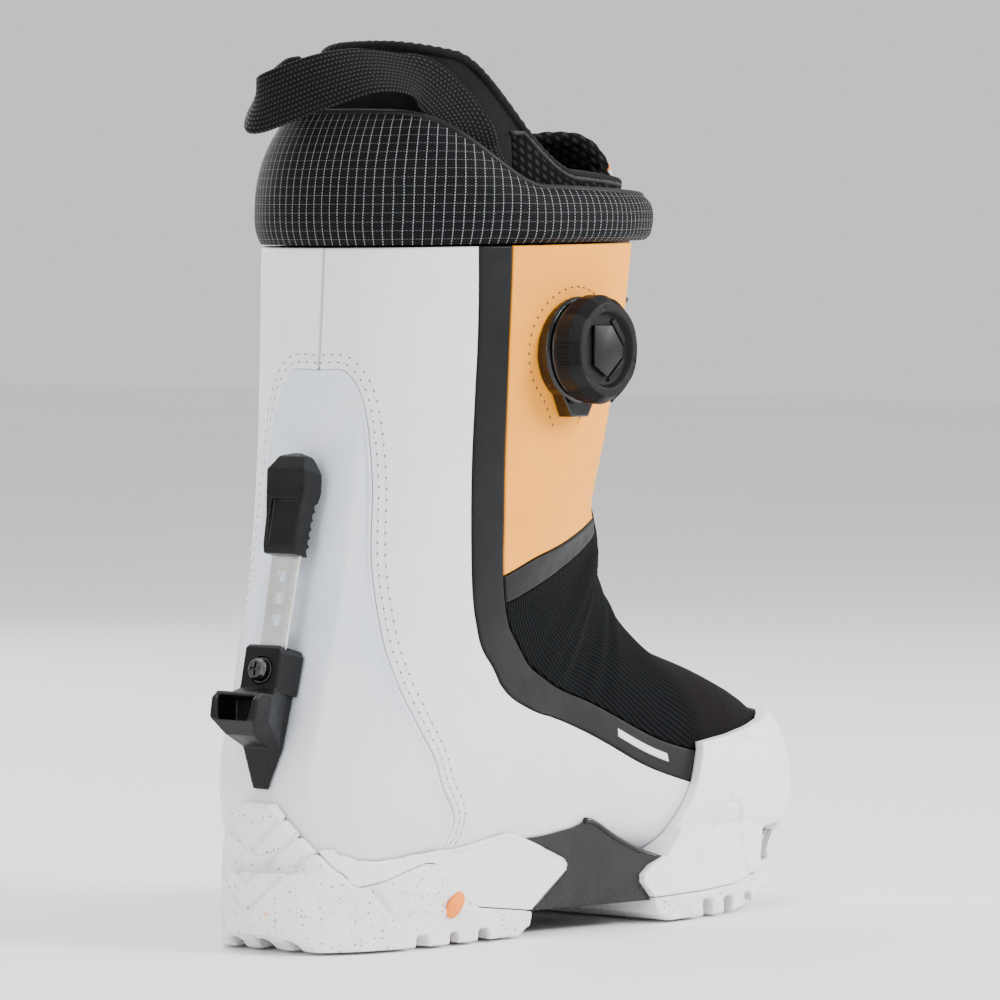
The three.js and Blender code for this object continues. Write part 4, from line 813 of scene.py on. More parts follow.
def tube(name, path, radius, sides=12, closed=False, twist=None):
    """A round bar along points; twist(angle, distance) scales its radius."""
    path = np.asarray(path, float)
    ahead = np.gradient(path, axis=0)
    if closed:
        ahead = np.roll(path, -1, 0) - np.roll(path, 1, 0)
    ahead /= np.maximum(np.linalg.norm(ahead, axis=1, keepdims=True), 1e-9)
    normal = np.cross(ahead[0], [0.13, 0.27, 0.95])
    frames = []
    for t in ahead:
        normal = normal - t * normal.dot(t)
        normal = normal / np.linalg.norm(normal)
        frames.append((normal, np.cross(t, normal)))
    gone = run(path[None], 1)[0]
    angle = np.arange(sides) * 2 * math.pi / sides
    rings = []
    for p, (a, b), d in zip(path, frames, gone):
        r = radius * (twist(angle, d) if twist else np.ones(sides))
        rings.append(p + a * (r * np.cos(angle))[:, None] + b * (r * np.sin(angle))[:, None])
    points = np.array(rings)
    count = len(path)
    faces, uvs = ring_faces(count, sides, closed), []
    for i in range(count if closed else count - 1):
        for j in range(sides):
            far = gone[i + 1] if i + 1 < count else gone[i] + 1
            low, high = j * radius * 0.5, (j + 1) * radius * 0.5
            uvs.extend([(gone[i], low), (gone[i], high), (far, high), (far, low)])
    if not closed:
        for i in (0, count - 1):
            faces.append([i * sides + j for j in range(sides)])
            uvs.extend([(gone[i], 0)] * sides)
    return mesh_object(name, points.reshape(-1, 3), faces, np.array(uvs) * 0.01)


LINER_FACE, LINER_WALL, THROAT = 9.6, 6.0, 30
COLLAR_INNER = 3.8
CAVITY = LINER_FACE + LINER_WALL


def liner_rim(v):
    return 16.1 + 1.75 * smoothstep(np.cos(np.radians(180 - v)), -0.05, 0.75)


def liner_grid(face, start, rim, v):
    """Rings from the toe up to the rim. The rows above station 14.5 are shares of the way to the rim."""
    low = np.concatenate([[start, 0.9, 1.4], np.linspace(2, 14.5, 52)])
    low[:3] = [start, start + (2 - start) * 0.3, start + (2 - start) * 0.65]
    shares = np.array([0.12, 0.25, 0.4, 0.55, 0.7, 0.82, 0.91, 0.96, 1.0])
    rows = [np.full_like(v, u) for u in low] + [14.5 + (rim(v) - 14.5) * s for s in shares]
    return np.array([face(u, v) for u in rows]), np.array(rows)


def liner():
    """The inner boot, open down the front for its tongue, with a rounded and piped rim."""
    around = 144
    v = np.arange(around) * 360 / around
    outer, rows = liner_grid(lambda u, a: over(u, a, 0 * a - LINER_FACE), 0.35, liner_rim, v)
    inner, _ = liner_grid(lambda u, a: within(u, a, CAVITY), 1.9, liner_rim, v)
    middle = (outer[-1] + inner[-1]) / 2
    for back_, share, rise in ((1, 0.5, 1.6), (2, 0.16, 0.9), (3, 0.04, 0.4)):
        outer[-back_] += (middle - outer[-back_]) * share * 0.9
        inner[-back_] += (middle - inner[-back_]) * share * 0.9
        outer[-back_, :, 2] += rise
        inner[-back_, :, 2] += rise
    angle = np.abs((v + 180) % 360 - 180)
    centre = angle[None, :] + 0 * rows
    keep = ~((centre[:-1] < THROAT) & (np.roll(centre, -1, 1)[:-1] <= THROAT) & (rows[:-1] > 9.55))
    keep &= ~((centre[:-1] <= THROAT) & (np.roll(centre, -1, 1)[:-1] < THROAT) & (rows[:-1] > 9.55))
    ring = np.concatenate([outer, outer[:, :1]], 1)
    tex = np.stack([run(ring, 1), np.concatenate([run(outer, 0), run(outer, 0)[:, :1]], 1)], -1)
    made = slab("liner_boot", outer, inner, tex, True, keep, True)
    dress(made, "liner", replaces=["liner_cuff", "liner_heel", "liner_toe"])
    edge_v = np.linspace(THROAT + 0.6, 360 - THROAT - 0.6, 260)
    rim = over(liner_rim(edge_v), edge_v, 0 * edge_v - LINER_FACE - 0.4)
    rim[:, 2] += 0.4
    twist = lambda a, d: 1 + 0.13 * np.cos(2 * a + d * 1.7)
    dress(tube("liner_piping", rim, 1.75, 12, twist=twist), "liner")
    mesh_patch()
    return made


def level(v, height):
    """The station on the skin whose height is height millimetres, at each angle v."""
    stations = np.linspace(14, 18, 161)
    rise = np.array([skin(stations, np.full(161, a))[:, 2] for a in v])
    return np.array([np.interp(height, row, stations) for row in rise])


def mesh_patch():
    """The liner's quilted side panels under the cuff, with a corded seam along their top."""
    for name, side in (("lateral", 1), ("medial", -1)):
        t, s = np.meshgrid(np.linspace(0, 1, 30), np.linspace(0, 1, 48))
        v = 31 + 84 * s
        top = np.minimum(level(side * v[:, 0], 312.5), liner_rim(v[:, 0]) - 0.06)[:, None]
        u = 14.9 + (top - 14.9) * t
        lift = 0.9 * np.clip(np.minimum(np.minimum(t, 1 - t) * 14, np.minimum(s, 1 - s) * 20), 0, 1)
        uv = np.stack([side * v, u], -1)
        points = over(uv[..., 1], uv[..., 0], -LINER_FACE + lift)
        back_ = over(uv[..., 1], uv[..., 0], 0 * lift - LINER_FACE - 0.6)
        made = slab("liner_mesh_" + name, points, back_, np.stack([84 * s, 30 * t], -1))
        dress(made, "liner_mesh")
        line = over(u[:, -1], side * v[:, -1], 0 * s[:, -1] - LINER_FACE + 0.5)
        twist = lambda a, d: 1 + 0.25 * np.abs(np.sin(d * 1.3))
        dress(tube("liner_seam_" + name, line, 0.8, 8, twist=twist), "dark_thread")


def liner_tongue():
    """A stuffed tongue between the liner's front edges, rolled over at its top."""
    top = lambda s: along_edge([(16.5, 30), (17.4, 14), (17.6, 0), (17.4, -14), (16.5, -30)], 4 * s)
    side = lambda t: np.stack([16.5 - 6.9 * t, 0 * t + THROAT], -1)
    grid = panel_grid(side, lambda t: across(side(t)), (130, 62), top, None, 1.8, 0.5)
    lumpy = lambda g: 0.25 * bumps(g[..., 0] * 2, g[..., 1] * 2, 1.4, 12)
    relief = lambda g, near: 1.6 * smoothstep(near, 0, 12) + lumpy(g)
    made = panel("liner_tongue", grid, -LINER_FACE, CAVITY, 2.6, relief)
    dress(made, "liner_mesh", replaces=["liner_tongue"])
    s = np.linspace(0.08, 0.92, 60)
    edge = top(s)
    path = over(edge[:, 0] - 0.12, edge[:, 1], 0 * s - LINER_FACE - 1.4)
    lumps = lambda a, d: (0.55 + 0.45 * np.sqrt(np.clip(np.sin(np.pi * (d + 2) / 62), 0, 1))) \
        * (1 + 0.05 * np.sin(d * 0.9 + 2 * a))
    dress(tube("tongue_roll", path, 4.6, 20, twist=lumps), "liner_mesh")
    woven_label()


def woven_label():
    """A plain woven stripe, white then orange, across the front of the tongue."""
    stripes = (("white", 16.42, 16.58, "white_thread"), ("orange", 16.6, 16.76, "orange"))
    for name, low, high, look in stripes:
        t, s = np.meshgrid(np.linspace(0, 1, 4), np.linspace(0, 1, 16))
        u, v = low + (high - low) * t, 2 + 22 * s
        top = over(u, v, 0 * u - LINER_FACE + 2.3)
        under = over(u, v, 0 * u - LINER_FACE + 0.9)
        dress(slab("label_" + name, top, under, np.stack([22 * s, 3 * t], -1)), look)


def catmull_curve(points, count):
    """Centripetal curve through points, sampled evenly in its parameter."""
    points = np.asarray(points, float)
    n = len(points)
    ends = np.vstack([2 * points[0] - points[1], points, 2 * points[-1] - points[-2]])
    out = []
    for t in np.linspace(0, n - 1, count):
        i = min(int(t), n - 2)
        w = t - i
        p0, p1, p2, p3 = ends[i:i + 4]
        d0, d1, d2 = (max(np.linalg.norm(b - a) ** 0.5, 1e-4) for a, b in ((p0, p1), (p1, p2), (p2, p3)))
        m1 = ((p1 - p0) / d0 - (p2 - p0) / (d0 + d1) + (p2 - p1) / d1) * d1
        m2 = ((p2 - p1) / d1 - (p3 - p1) / (d1 + d2) + (p3 - p2) / d2) * d1
        a, b = 2 * p1 - 2 * p2 + m1 + m2, -3 * p1 + 3 * p2 - 2 * m1 - m2
        out.append(a * w ** 3 + b * w ** 2 + m1 * w + p1)
    return np.array(out)


WEBBING_HALF = 10.8
LOOP_TUCK = [(15.9, 127), (16.35, 131.5), (16.85, 136)]
# x, y, z and how far the webbing's upright edge leans in x and y for each unit of height
LOOP_FREE = [(4, -33, 328, 0.2, 0.2), (-7, -29.5, 332, 0.1, 0.8), (-22, -24, 333, 0, 0.9),
             (-35, -13, 329, -0.1, 0.5), (-42, 3, 323, -0.1, 0), (-39, 17, 320, -0.1, -0.5),
             (-26, 25, 326, 0, -0.8), (-11, 29.5, 331, 0.1, -0.8), (2, 33, 328, 0.2, -0.2)]


def pull_loop():
    """Webbing tucked between collar and liner at both ends, with folded, slightly rolled edges."""
    depth = (COLLAR_INNER + LINER_FACE) / 2 - 0.3
    near = [over(u, v, np.float64(-depth)) for u, v in LOOP_TUCK]
    far = [over(u, -v, np.float64(-depth)) for u, v in LOOP_TUCK][::-1]
    rise = [skin(u + 0.3, v) - skin(u - 0.3, v) for u, v in LOOP_TUCK]
    fall = [skin(u + 0.3, -v) - skin(u - 0.3, -v) for u, v in LOOP_TUCK][::-1]
    unit = lambda rows: [np.array(r) / np.linalg.norm(r) for r in rows]
    path = catmull_curve([*near, *(f[:3] for f in LOOP_FREE), *far], 190)
    leaning = [(a, b, 1) for _, _, _, a, b in LOOP_FREE]
    upright = catmull_curve([*unit(rise), *unit(leaning), *unit(fall)], 190)
    ahead = np.gradient(path, axis=0)
    ahead /= np.linalg.norm(ahead, axis=1, keepdims=True)
    wide = upright - ahead * (upright * ahead).sum(1, keepdims=True)
    wide /= np.linalg.norm(wide, axis=1, keepdims=True)
    thick = np.cross(wide, ahead)
    across_ = np.linspace(-1, 1, 33)
    section = np.sqrt(np.clip(1 - np.abs(across_) ** 12, 0, 1))
    outer = path[:, None] + wide[:, None] * (across_ * WEBBING_HALF)[None, :, None]
    push = thick[:, None] * (0.9 * section + 0.02)[None, :, None]
    gone = run(path[None], 1)[0]
    tex = np.stack(np.meshgrid(across_ * 11.5 + 11.5, gone), -1)[..., ::-1]
    made = slab("pull_loop", outer + push, outer - push, tex)
    return dress(made, "webbing", replaces=["pull_loop"])


# ---------------------------------------------------------------- moulded pieces from the CAD solids
def raise_relief(mesh, relief):
    """Moves each vertex along its normal by relief(points, normals), in millimetres."""
    at, normals = np.empty((2, len(mesh.vertices) * 3), np.float32)
    mesh.vertices.foreach_get("co", at)
    mesh.vertex_normals.foreach_get("vector", normals)
    at, normals = at.reshape(-1, 3).astype(float), normals.reshape(-1, 3)
    at += normals * (relief(at / MM, normals) * MM)[:, None]
    mesh.vertices.foreach_set("co", at.astype(np.float32).ravel())
    mesh.update()


def softened(node, look, voxel, rounds, body="boot", relief=None, name=None):
    """A fine copy of a CAD solid with its facets smoothed and its edges rounded as moulded parts are."""
    source = frame["nodes"][node]
    mesh = source.data.copy()
    made = bpy.data.objects.new(name or node + "_skin", mesh)
    bpy.context.scene.collection.objects.link(made)
    shape = bmesh.new()
    shape.from_mesh(mesh)
    bmesh.ops.remove_doubles(shape, verts=shape.verts, dist=1e-6)
    shape.to_mesh(mesh)
    shape.free()
    remesh = made.modifiers.new("fine", "REMESH")
    remesh.mode = "VOXEL"
    remesh.voxel_size = voxel * MM * 1
    smooth = made.modifiers.new("round", "SMOOTH")
    smooth.factor = 0.5
    smooth.iterations = rounds
    graph = bpy.context.evaluated_depsgraph_get()
    final = bpy.data.meshes.new_from_object(made.evaluated_get(graph))
    made.modifiers.clear()
    made.data = final
    if relief:
        raise_relief(final, relief)
    final.shade_smooth()
    return dress(made, look, body, [node])


def refined(node, look, size, body="boot", relief=None):
    """A finely divided copy of a CAD solid that keeps its thin edges, with an optional relief."""
    mesh = frame["nodes"][node].data.copy()
    made = bpy.data.objects.new(node + "_skin", mesh)
    bpy.context.scene.collection.objects.link(made)
    shape = bmesh.new()
    shape.from_mesh(mesh)
    bmesh.ops.remove_doubles(shape, verts=shape.verts, dist=1e-6)
    size = size * MM * 1
    for _ in range(7):
        long = [e for e in shape.edges if e.calc_length() > size]
        if not long:
            break
        bmesh.ops.subdivide_edges(shape, edges=long, cuts=1)
        bmesh.ops.triangulate(shape, faces=[f for f in shape.faces if len(f.verts) > 3])
    shape.to_mesh(mesh)
    shape.free()
    if relief:
        raise_relief(mesh, relief)
    mesh.shade_smooth()
    mesh.set_sharp_from_angle(angle=math.radians(38))
    return dress(made, look, body, [node])


def ridge(distance, width):
    """1 on a line, falling to 0 at width either side."""
    return np.exp(-(distance / width) ** 2)


def to_line(x, z, a, b):
    """Distance in the (x, z) plane to the stretch from a to b."""
    ax, az = a
    dx, dz = b[0] - ax, b[1] - az
    t = np.clip(((x - ax) * dx + (z - az) * dz) / (dx * dx + dz * dz), 0, 1)
    return np.hypot(x - ax - t * dx, z - az - t * dz)


def to_path(x, z, path):
    return np.min([to_line(x, z, a, b) for a, b in zip(path, path[1:])], axis=0)


def heel_relief(p, n):
    """V-shaped grooves on the counter, slanting ones on its sides, and oblong bumps in front."""
    x, y, z = p.T
    height = np.zeros(len(p))
    rear = np.clip((-24 - x) / 8, 0, 1)
    for foot, wide in ((37, 16), (26, 26), (15, 32)):
        line = np.abs(z - foot - np.abs(y - 4) * 0.85)
        height -= 1.9 * ridge(line, 0.9) * rear * (np.abs(y) < wide) * (z < 52)
    sides = np.clip((np.abs(n[:, 1]) - 0.55) / 0.25, 0, 1)
    for a, b in (((-44, 38), (-26, 14)), ((-34, 26), (-22, 10))):
        height -= 1.0 * ridge(to_line(x, z, a, b), 1.0) * sides
    for k in range(9):
        cx, cz = -18 + 8.2 * (k % 5) + 3 * (k // 5), 22 - 7.0 * (k // 5) - 1.2 * (k % 5)
        d = np.hypot((x - cx + 0.4 * (z - cz)) / 2.6, (z - cz) / 1.3)
        height += 1.2 * np.clip(1.3 - d, 0, 1) * sides
    return height


CAP_GROOVES = [
    [(150, 31), (158, 38), (164, 43), (170, 44), (173, 40), (176, 24)],
    [(165, 45), (168, 60), (171, 68), (182, 70), (196, 66)],
    [(178, 20), (182, 14), (190, 11)],
    [(206, 62), (214, 50), (222, 44), (234, 42)],
]


def cap_relief(p, n):
    """Shallow moulded steps and grooves on both sides of the toe cap."""
    x, _, z = p.T
    sides = np.clip((np.abs(n[:, 1]) - 0.3) / 0.3, 0, 1)
    height = np.zeros(len(p))
    for path in CAP_GROOVES:
        height -= 1.2 * ridge(to_path(x, z, path), 1.0) * sides
    field = smoothstep(x, 168, 172) * smoothstep(z, 46, 40) * smoothstep(x, 236, 222)
    return height + 0.45 * field * sides


def midsole_relief(p, n):
    """A soft crease that runs along the side, and a gentle roll over it."""
    x, _, z = p.T
    sides = np.clip((np.abs(n[:, 1]) - 0.3) / 0.3, 0, 1)
    line = z - (30 + 9 * smoothstep(x, -30, 10) - 7 * smoothstep(x, 25, 70))
    return sides * (0.5 * np.tanh(line / 1.2) - 0.2)


def front_tread_relief(p, n):
    x, _, z = p.T
    sides = np.clip((np.abs(n[:, 1]) - 0.5) / 0.3, 0, 1)
    return -0.5 * ridge(np.abs((x * 0.5 + z) % 9 - 4.5), 0.8) * sides * (z < 14)


def sole():
    softened("outsole_heel", "white_rubber", 0.8, 5, relief=heel_relief)
    refined("midsole", "midsole", 1.4, relief=midsole_relief)
    refined("arch_shank", "shank", 2.5)
    softened("outsole_forefoot", "white_rubber", 0.8, 5, relief=front_tread_relief)
    refined("toe_cap", "midsole", 1.5, relief=cap_relief)
    toe_hooks()
    softened("lasting_board", "board", 1.2, 5)
    softened("footbed", "board", 1.2, 6)


HOOK_DEPTH = 4.2
HOOK_FACE = [(-8, -4.2), (-6.6, -5.2), (-0.6, -5), (7.8, 3.4), (7.4, 4.8), (1, 4.8)]


def toe_hooks():
    """A steel pad in the pocket on each side of the toe, with its face turned a little outwards."""
    cap = tree_of(bpy.data.objects["toe_cap_skin"])
    up = np.array([0.0, 0, 1])
    for name, side in (("lateral", -1), ("medial", 1)):
        ends = [ray(cap, (x, side * 120, 25), (0, -side, 0))[0] for x in (189, 209)]
        along = ends[1] - ends[0]
        along = along / np.linalg.norm(along) + np.array([0, side * 0.2, 0])
        along /= np.linalg.norm(along)
        out = np.cross(along, up) * -side
        centre = (ends[0] + ends[1]) / 2 + out * 1.2
        place = lambda a, b, h: centre + along * a + up * b + out * h
        node = "toe_hook_" + name
        plate("toe_pad_" + name, HOOK_FACE, -HOOK_DEPTH, 0, "hook_steel", "boot", place, 0.5, [node])


def ray(tree, origin, direction):
    hit = tree.ray_cast(Vector(origin) * MM, Vector(direction))
    return (np.array(hit[0]) / MM, np.array(hit[1])) if hit[0] is not None else (None, None)


def tree_of(*objects):
    vertices, faces = [], []
    for o in objects:
        start = len(vertices)
        vertices += [v.co.copy() for v in o.data.vertices]
        faces += [[start + k for k in f.vertices] for f in o.data.polygons]
    return BVHTree.FromPolygons(vertices, faces)


SHANK_TOP = [(50, 39), (56, 40.5), (64, 42), (74, 43.2), (82, 43), (88, 41.5), (99, 35), (112, 29)]


def shank_rims():
    """The glossy bead along the shank's upper edge, on both sides."""
    tree = tree_of(*(o for o in bpy.data.objects if o.name == "arch_shank_skin"))
    line = through(SHANK_TOP, np.linspace(0, len(SHANK_TOP) - 1, 70))
    for name, side in (("lateral", -1), ("medial", 1)):
        path = []
        for x, z in line:
            at, _ = ray(tree, (x, side * 120, z - 1.3), (0, -side, 0))
            if at is not None:
                path.append(at + np.array([0, -side * 0.3, 0.5]))
        dress(tube("shank_rim_" + name, path, 1.15, 10), "gloss_black")


# ---------------------------------------------------------------- stitching and small marks
def beads(name, places, size, look, body="boot"):
    """Small stretched beads: each place is (point, along, out) and size (length, width, height)."""
    rings, sides = 6, 8
    template = []
    for i in range(rings + 1):
        a = math.pi * i / rings
        for j in range(sides):
            b = 2 * math.pi * j / sides
            template.append((math.cos(a), math.sin(a) * math.cos(b), math.sin(a) * math.sin(b)))
    faces = ring_faces(rings + 1, sides, False)
    template = np.array(template) * np.array(size) / 2
    points, all_faces = [], []
    for point, along, out in places:
        along = along - out * along.dot(out)
        along = along / np.linalg.norm(along)
        basis = np.array([along, np.cross(out, along), out])
        all_faces += [[k + len(points) for k in f] for f in faces]
        points += list(point + template @ basis)
    made = mesh_object(name, np.array(points), all_faces)
    shape = bmesh.new()
    shape.from_mesh(made.data)
    bmesh.ops.remove_doubles(shape, verts=shape.verts, dist=1e-7)
    shape.to_mesh(made.data)
    shape.free()
    made.data.shade_smooth()
    return dress(made, look, body)


def evenly(path, pitch, start=0.0):
    """Points every pitch along a path, with the direction there."""
    path = np.asarray(path, float)
    gone = run(path[None], 1)[0]
    at = np.arange(start, gone[-1], pitch)
    points = np.stack([np.interp(at, gone, path[:, k]) for k in range(3)], -1)
    ahead = np.stack([np.interp(at + 0.5, gone, path[:, k]) for k in range(3)], -1) - points
    return points, ahead / np.maximum(np.linalg.norm(ahead, axis=1, keepdims=True), 1e-9)


def on_surface(tree, point, offset=0.0):
    at, out, _, _ = tree.find_nearest(Vector(point) * MM)
    out = np.array(out)
    return np.array(at) / MM + out * offset, out


def window_stitches(panels):
    """Two rows of stitches round the spine's window, on both quarters, with a grey bead of painted shade at
    each needle hole.
    """
    tree = tree_of(*panels)
    t = np.linspace(1.0, 10.75, 500)
    threads, holes = [], []
    for side in (lambda uv: uv, mirrored):
        uv = side(along_edge(SEAM_AND_WINDOW, t))
        border = skin(uv[:, 0], uv[:, 1])
        ahead = np.gradient(border, axis=0)
        ahead /= np.linalg.norm(ahead, axis=1, keepdims=True)
        outward = np.cross(skin_normal(uv[:, 0], uv[:, 1]), ahead)
        centre = skin(11.5, 180)
        if (outward[250] * (border[250] - centre)).sum() < 0:
            outward = -outward
        for distance in (2.6, 5.6):
            points, along = evenly(border + outward * distance, 4.2, 0.6 + distance * 0.3)
            for p, a in zip(points, along):
                q, out = on_surface(tree, p, 0.0)
                threads.append((q + a * 2.1 + out * 0.05, a, out))
                holes.append((q + out * 0.05, a, out))
    beads("window_thread", threads, (3.0, 0.75, 0.5), "white_thread")
    # painted shade: grey beads at the needle holes
    beads("window_holes", holes, (1.1, 0.7, 0.3), "hole_shade_grey")


def band_mark():
    """A plain white bar printed on the outer band, above the arch."""
    back_edge, front_edge = edge_of(BAND_BACK), edge_of(BAND_FRONT)
    along = np.linspace(0.4, 1, 600)
    middle = (back_edge(along) + front_edge(along)) / 2
    x = skin(middle[:, 0], middle[:, 1])[:, 0]
    first, last = along[np.argmax(x > 102)], along[np.argmax(x > 131)]
    t, s = np.meshgrid(np.linspace(0.38, 0.62, 5), np.linspace(first, last, 24))
    near, far = back_edge(s), front_edge(s)
    uv = near + (far - near) * t[..., None]
    face = over(uv[..., 0], uv[..., 1], 0 * t + 0.5)
    under = over(uv[..., 0], uv[..., 1], 0 * t + 0.1)
    dress(slab("band_mark", face, under, np.stack([run(face, 0), 4 * t], -1)), "white_thread")


def heel_mark():
    """A plain orange lozenge moulded in the heel's outer side."""
    tree = tree_of(bpy.data.objects["outsole_heel_skin"])
    at, out = ray(tree, (6, -120, 15), (0, 1, 0))
    place = (at + out * 0.9, np.array([0.75, 0, 0.66]), out)
    beads("heel_mark", [place], (12.5, 8, 2.4), "orange")


def dial_stitches(panels):
    """The dashed ring that holds the dial's base to the ankle panel, with a brown bead of painted shade at
    each needle hole.
    """
    tree = tree_of(panels[0])
    angles = np.radians(np.linspace(-52, 232, 90))
    ring = [(54 + 24 * math.cos(a), 227 + 24 * math.sin(a)) for a in angles[::-1]]
    path = [(46, 197.5)] + ring + [(62, 197.5)]
    flat = np.array([(x, -100, z) for x, z in path], float)
    points, along = evenly(flat, 3.6, 0.5)
    dark, pale = [], []
    for p, a in zip(points, along):
        at, out = ray(tree, p, (0, 1, 0))
        if at is None:
            continue
        dark.append((at + out * 0.03, a, out))
        pale.append((at + a * 1.8 + out * 0.02, a, out))
    # painted shade: brown beads at the needle holes
    beads("dial_stitch_holes", dark, (1.3, 0.8, 0.4), "hole_shade_brown")
    beads("dial_stitch_thread", pale, (2.4, 0.6, 0.4), "apricot")


# ---------------------------------------------------------------- dial
DIAL_X, DIAL_Z = 54.0, 227.0
DIAL_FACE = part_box("dial_knob")[0].y / MM + 16.4


def rounded(profile, radius=0.45, steps=4):
    """A closed (r, h) outline with its corners rounded."""
    made = []
    points = [np.array(p, float) for p in profile]
    for k, p in enumerate(points):
        a, b = points[k - 1] - p, points[(k + 1) % len(points)] - p
        la, lb = np.linalg.norm(a), np.linalg.norm(b)
        r = min(radius, la * 0.45, lb * 0.45)
        start, end = p + a / la * r, p + b / lb * r
        for s in np.linspace(0, 1, steps):
            made.append((1 - s) ** 2 * start + 2 * s * (1 - s) * p + s * s * end)
    return np.array(made)


def dial_points(r, h, angle):
    return np.stack([DIAL_X + r * np.cos(angle), DIAL_FACE - h, DIAL_Z + r * np.sin(angle)], -1)


KNOB_PROFILE = [
    (8.4, 10.6), (14.9, 10.6), (14.9, 9.2), (18.6, 9.2), (18.6, 5.4), (20.2, 5.4), (21, 6.4), (21, 12.6),
    (19.4, 14.6), (18.2, 16.2), (17.2, 16.4), (14.8, 16.4), (13.4, 14), (4.2, 14), (4.2, 12), (8.4, 12)]


def knob():
    """The grip ring: twelve shallow facets and groups of fine ribs, with a recess in its face."""
    profile = rounded(KNOB_PROFILE, 0.5)
    dense = []
    for a, b in zip(profile, np.roll(profile, -1, 0)):
        count = max(1, int(np.linalg.norm(b - a) / 0.7))
        dense += [a + (b - a) * k / count for k in range(count)]
    profile = np.array(dense)
    angle = np.linspace(0, 2 * math.pi, 720, endpoint=False)
    turn, r = np.meshgrid(angle, profile[:, 0])
    h = np.meshgrid(angle, profile[:, 1])[1]
    rim = smoothstep(r, 17.8, 19.4)
    facet = 0.45 * (1 - np.abs(np.cos(6 * turn))) * rim
    group = smoothstep(np.cos(turn * 6 - 0.4), -0.15, 0.15)
    rib = (0.5 + 0.5 * np.cos(turn * 96)) ** 0.7 * 0.65 * group * smoothstep(r, 17.4, 18.6)
    rib = rib * smoothstep(h, 6.0, 7.2)
    spots = np.zeros_like(r)
    for centre in (-2.45, -0.3, 1.75):
        away = np.abs((turn - centre + math.pi) % (2 * math.pi) - math.pi) * 16.2
        spots += 0.5 * ridge(away, 1.3) * ridge(r - 16.3, 0.7) * smoothstep(h, 16.0, 16.3)
    points = dial_points(r - facet - rib, h - spots, turn)
    made = mesh_object("dial_grip", points.reshape(-1, 3), ring_faces(*r.shape))
    return dress(made, "knob", "knob", ["dial_knob"])


def plate(name, outline, low, high, look, body, place, bevel=0.35, replaces=()):
    """A flat plate from an outline, with bevelled edges; place(a, b, h) puts its points."""
    outline = np.array(outline, float)
    count = len(outline)
    points = [place(a, b, h) for h in (low, high) for a, b in outline]
    faces = [list(range(count)), list(range(count, 2 * count))]
    faces += [[j, (j + 1) % count, count + (j + 1) % count, count + j] for j in range(count)]
    made = mesh_object(name, np.array(points), faces, smooth=False)
    edges = made.modifiers.new("edge", "BEVEL")
    edges.width = bevel * MM
    edges.segments = 3
    edges.limit_method = "ANGLE"
    graph = bpy.context.evaluated_depsgraph_get()
    final = bpy.data.meshes.new_from_object(made.evaluated_get(graph))
    made.modifiers.clear()
    made.data = final
    final.shade_smooth()
    final.set_sharp_from_angle(angle=math.radians(35))
    return dress(made, look, body, replaces)


def on_dial(a, b, h):
    return (DIAL_X + a, DIAL_FACE - h, DIAL_Z + b)


def dial():
    softened("dial_base", "gloss_black", 0.3, 4)
    knob()
    arrow = [(-8, 9.4), (3, 9.4), (9.6, 1.5), (9.6, -3), (0, -10.6), (-8, -6)]
    plate("dial_face_plate", arrow, 14.2, 15.6, "black_plastic", "knob", on_dial, 0.5, ["dial_cap"])
    bar = [(3.4, 10.6), (5.4, 12.0), (11.8, 4.2), (11.2, 1.4)]
    plate("dial_face_bar_upper", bar, 14.0, 15.0, "knob", "knob", on_dial, 0.3)
    low = [(10.9, -3.4), (11.6, -5.4), (2.6, -12.4), (1.4, -11.2)]
    plate("dial_face_bar_lower", low, 14.0, 15.0, "knob", "knob", on_dial, 0.3)
    for node, look in (("dial_spool", "black_plastic"), ("drive_disc", "black_plastic"),
                       ("coiler_spring", "steel"), ("dial_screw", "steel")):
        dress_node(node, look)


def keep_node(node, look):
    """A CAD node that stays as it is, welded and smoothly shaded, with a better material."""
    made = frame["nodes"][node]
    weld = made.modifiers.new("weld", "WELD")
    weld.merge_threshold = 1e-6
    for polygon in made.data.polygons:
        polygon.use_smooth = True
    made.data.materials.clear()
    made.data.materials.append(LOOKS[look])
    return made


def dress_node(node, look):
    """A CAD node that stays, with a small bevel."""
    edges = keep_node(node, look).modifiers.new("edge", "BEVEL")
    edges.width = 0.15 * MM
    edges.segments = 2
    edges.limit_method = "ANGLE"
    edges.angle_limit = math.radians(40)


# ---------------------------------------------------------------- lace, guides, cleat and lever
def lacing():
    fine = keep_node("lace", "lace").modifiers.new("round", "SUBSURF")
    fine.levels = fine.render_levels = 2
    for k in (1, 2, 3):
        softened(f"lace_guide_{k}", "black_plastic", 0.4, 4)


def cleat():
    softened("heel_cleat", "black_plastic", 0.4, 4)
    softened("cleat_screw", "black_steel", 0.15, 2)
    softened("cleat_washer", "black_steel", 0.15, 2)
    dress_node("nut_plate", "steel")
    dress_node("spring_strip", "steel")
    softened("lever_grip", "black_plastic", 0.35, 5, "lever")


# ---------------------------------------------------------------- camera, floor and light
LENS = 224.6
CAMERA_HEADING = 50  # degrees, from +Y towards +X
CAMERA_AWAY, CAMERA_HEIGHT = 2.4, 0.267  # metres
AIM_RIGHT, AIM_DOWN = 1.325, 2.34  # degrees off the line through the heel


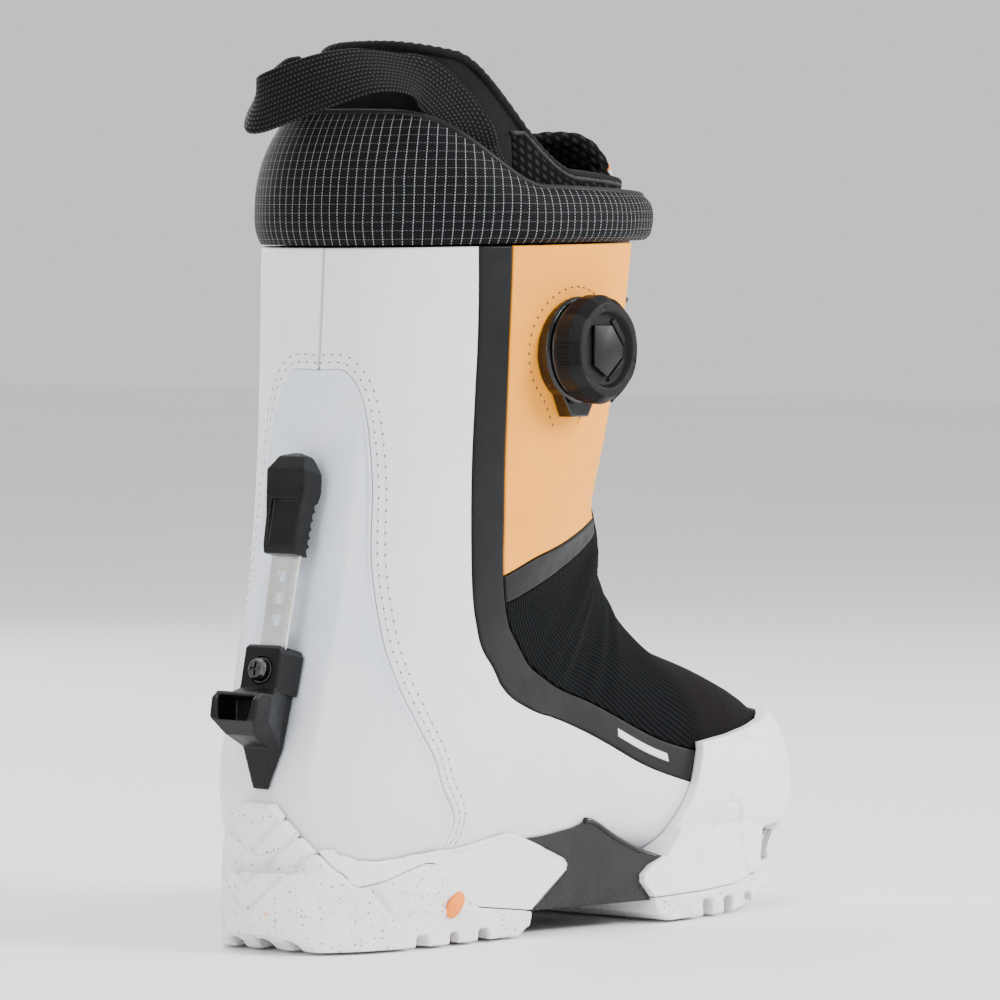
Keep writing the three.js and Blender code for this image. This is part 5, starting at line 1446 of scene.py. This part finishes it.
def camera():
    data = bpy.data.cameras.new("camera")
    data.lens = LENS
    data.sensor_width = 36
    made = bpy.data.objects.new("camera", data)
    bpy.context.scene.collection.objects.link(made)
    heading = math.radians(CAMERA_HEADING)
    ahead = Vector((math.sin(heading), math.cos(heading), 0))
    made.location = -CAMERA_AWAY * ahead + Vector((0, 0, CAMERA_HEIGHT))
    right = Vector((ahead.y, -ahead.x, 0))
    down = Vector((0, 0, -math.tan(math.radians(AIM_DOWN))))
    aim = ahead + right * math.tan(math.radians(AIM_RIGHT)) + down
    made.rotation_euler = aim.to_track_quat("-Z", "Y").to_euler()
    bpy.context.scene.camera = made


def lamp(name, place, size, power, aim=(0.06, 0, 0.17), colour=(1, 1, 1)):
    data = bpy.data.lights.new(name, "AREA")
    data.shape = "RECTANGLE"
    data.size, data.size_y = size
    data.energy = power
    data.color = colour
    made = bpy.data.objects.new(name, data)
    bpy.context.scene.collection.objects.link(made)
    made.location = place
    made.rotation_euler = (Vector(aim) - Vector(place)).to_track_quat("-Z", "Y").to_euler()


def studio():
    bpy.ops.mesh.primitive_plane_add(size=14, location=(0, 0, -0.0012))
    floor = bpy.context.object
    floor.name = "floor"
    look = Look("floor", Roughness=0.7)
    tone = look.blend(look.ramp(look.noise(400, 2), 0.3, 0.7), (0.93, 0.93, 0.935), (0.91, 0.91, 0.915))
    floor.data.materials.append(look.finish(tone))
    world = bpy.data.worlds.new("world")
    bpy.context.scene.world = world
    world.use_nodes = True
    world.node_tree.nodes["Background"].inputs[0].default_value = (1, 1, 1, 1)
    world.node_tree.nodes["Background"].inputs[1].default_value = 0.85
    lamp("key", (0.5, -1.9, 1.5), (0.7, 0.7), 60)
    lamp("side", (-1.9, -0.2, 0.7), (0.8, 1.2), 20)
    lamp("front", (1.6, -1.2, 0.9), (0.8, 0.9), 26)
    lamp("top", (0.0, 0.3, 1.9), (1.2, 1.2), 22)
    lamp("back", (0.6, 1.6, 0.8), (1.2, 1.0), 14)


camera()
studio()
shell_panels = quarters()
spine()
bands()
colour_panels = ankle_panels()
vamp()
shell_tongue()
collar()
liner()
liner_tongue()
pull_loop()
sole()
shank_rims()
heel_mark()
band_mark()
window_stitches(shell_panels)
dial()
dial_stitches(colour_panels)
lacing()
cleat()
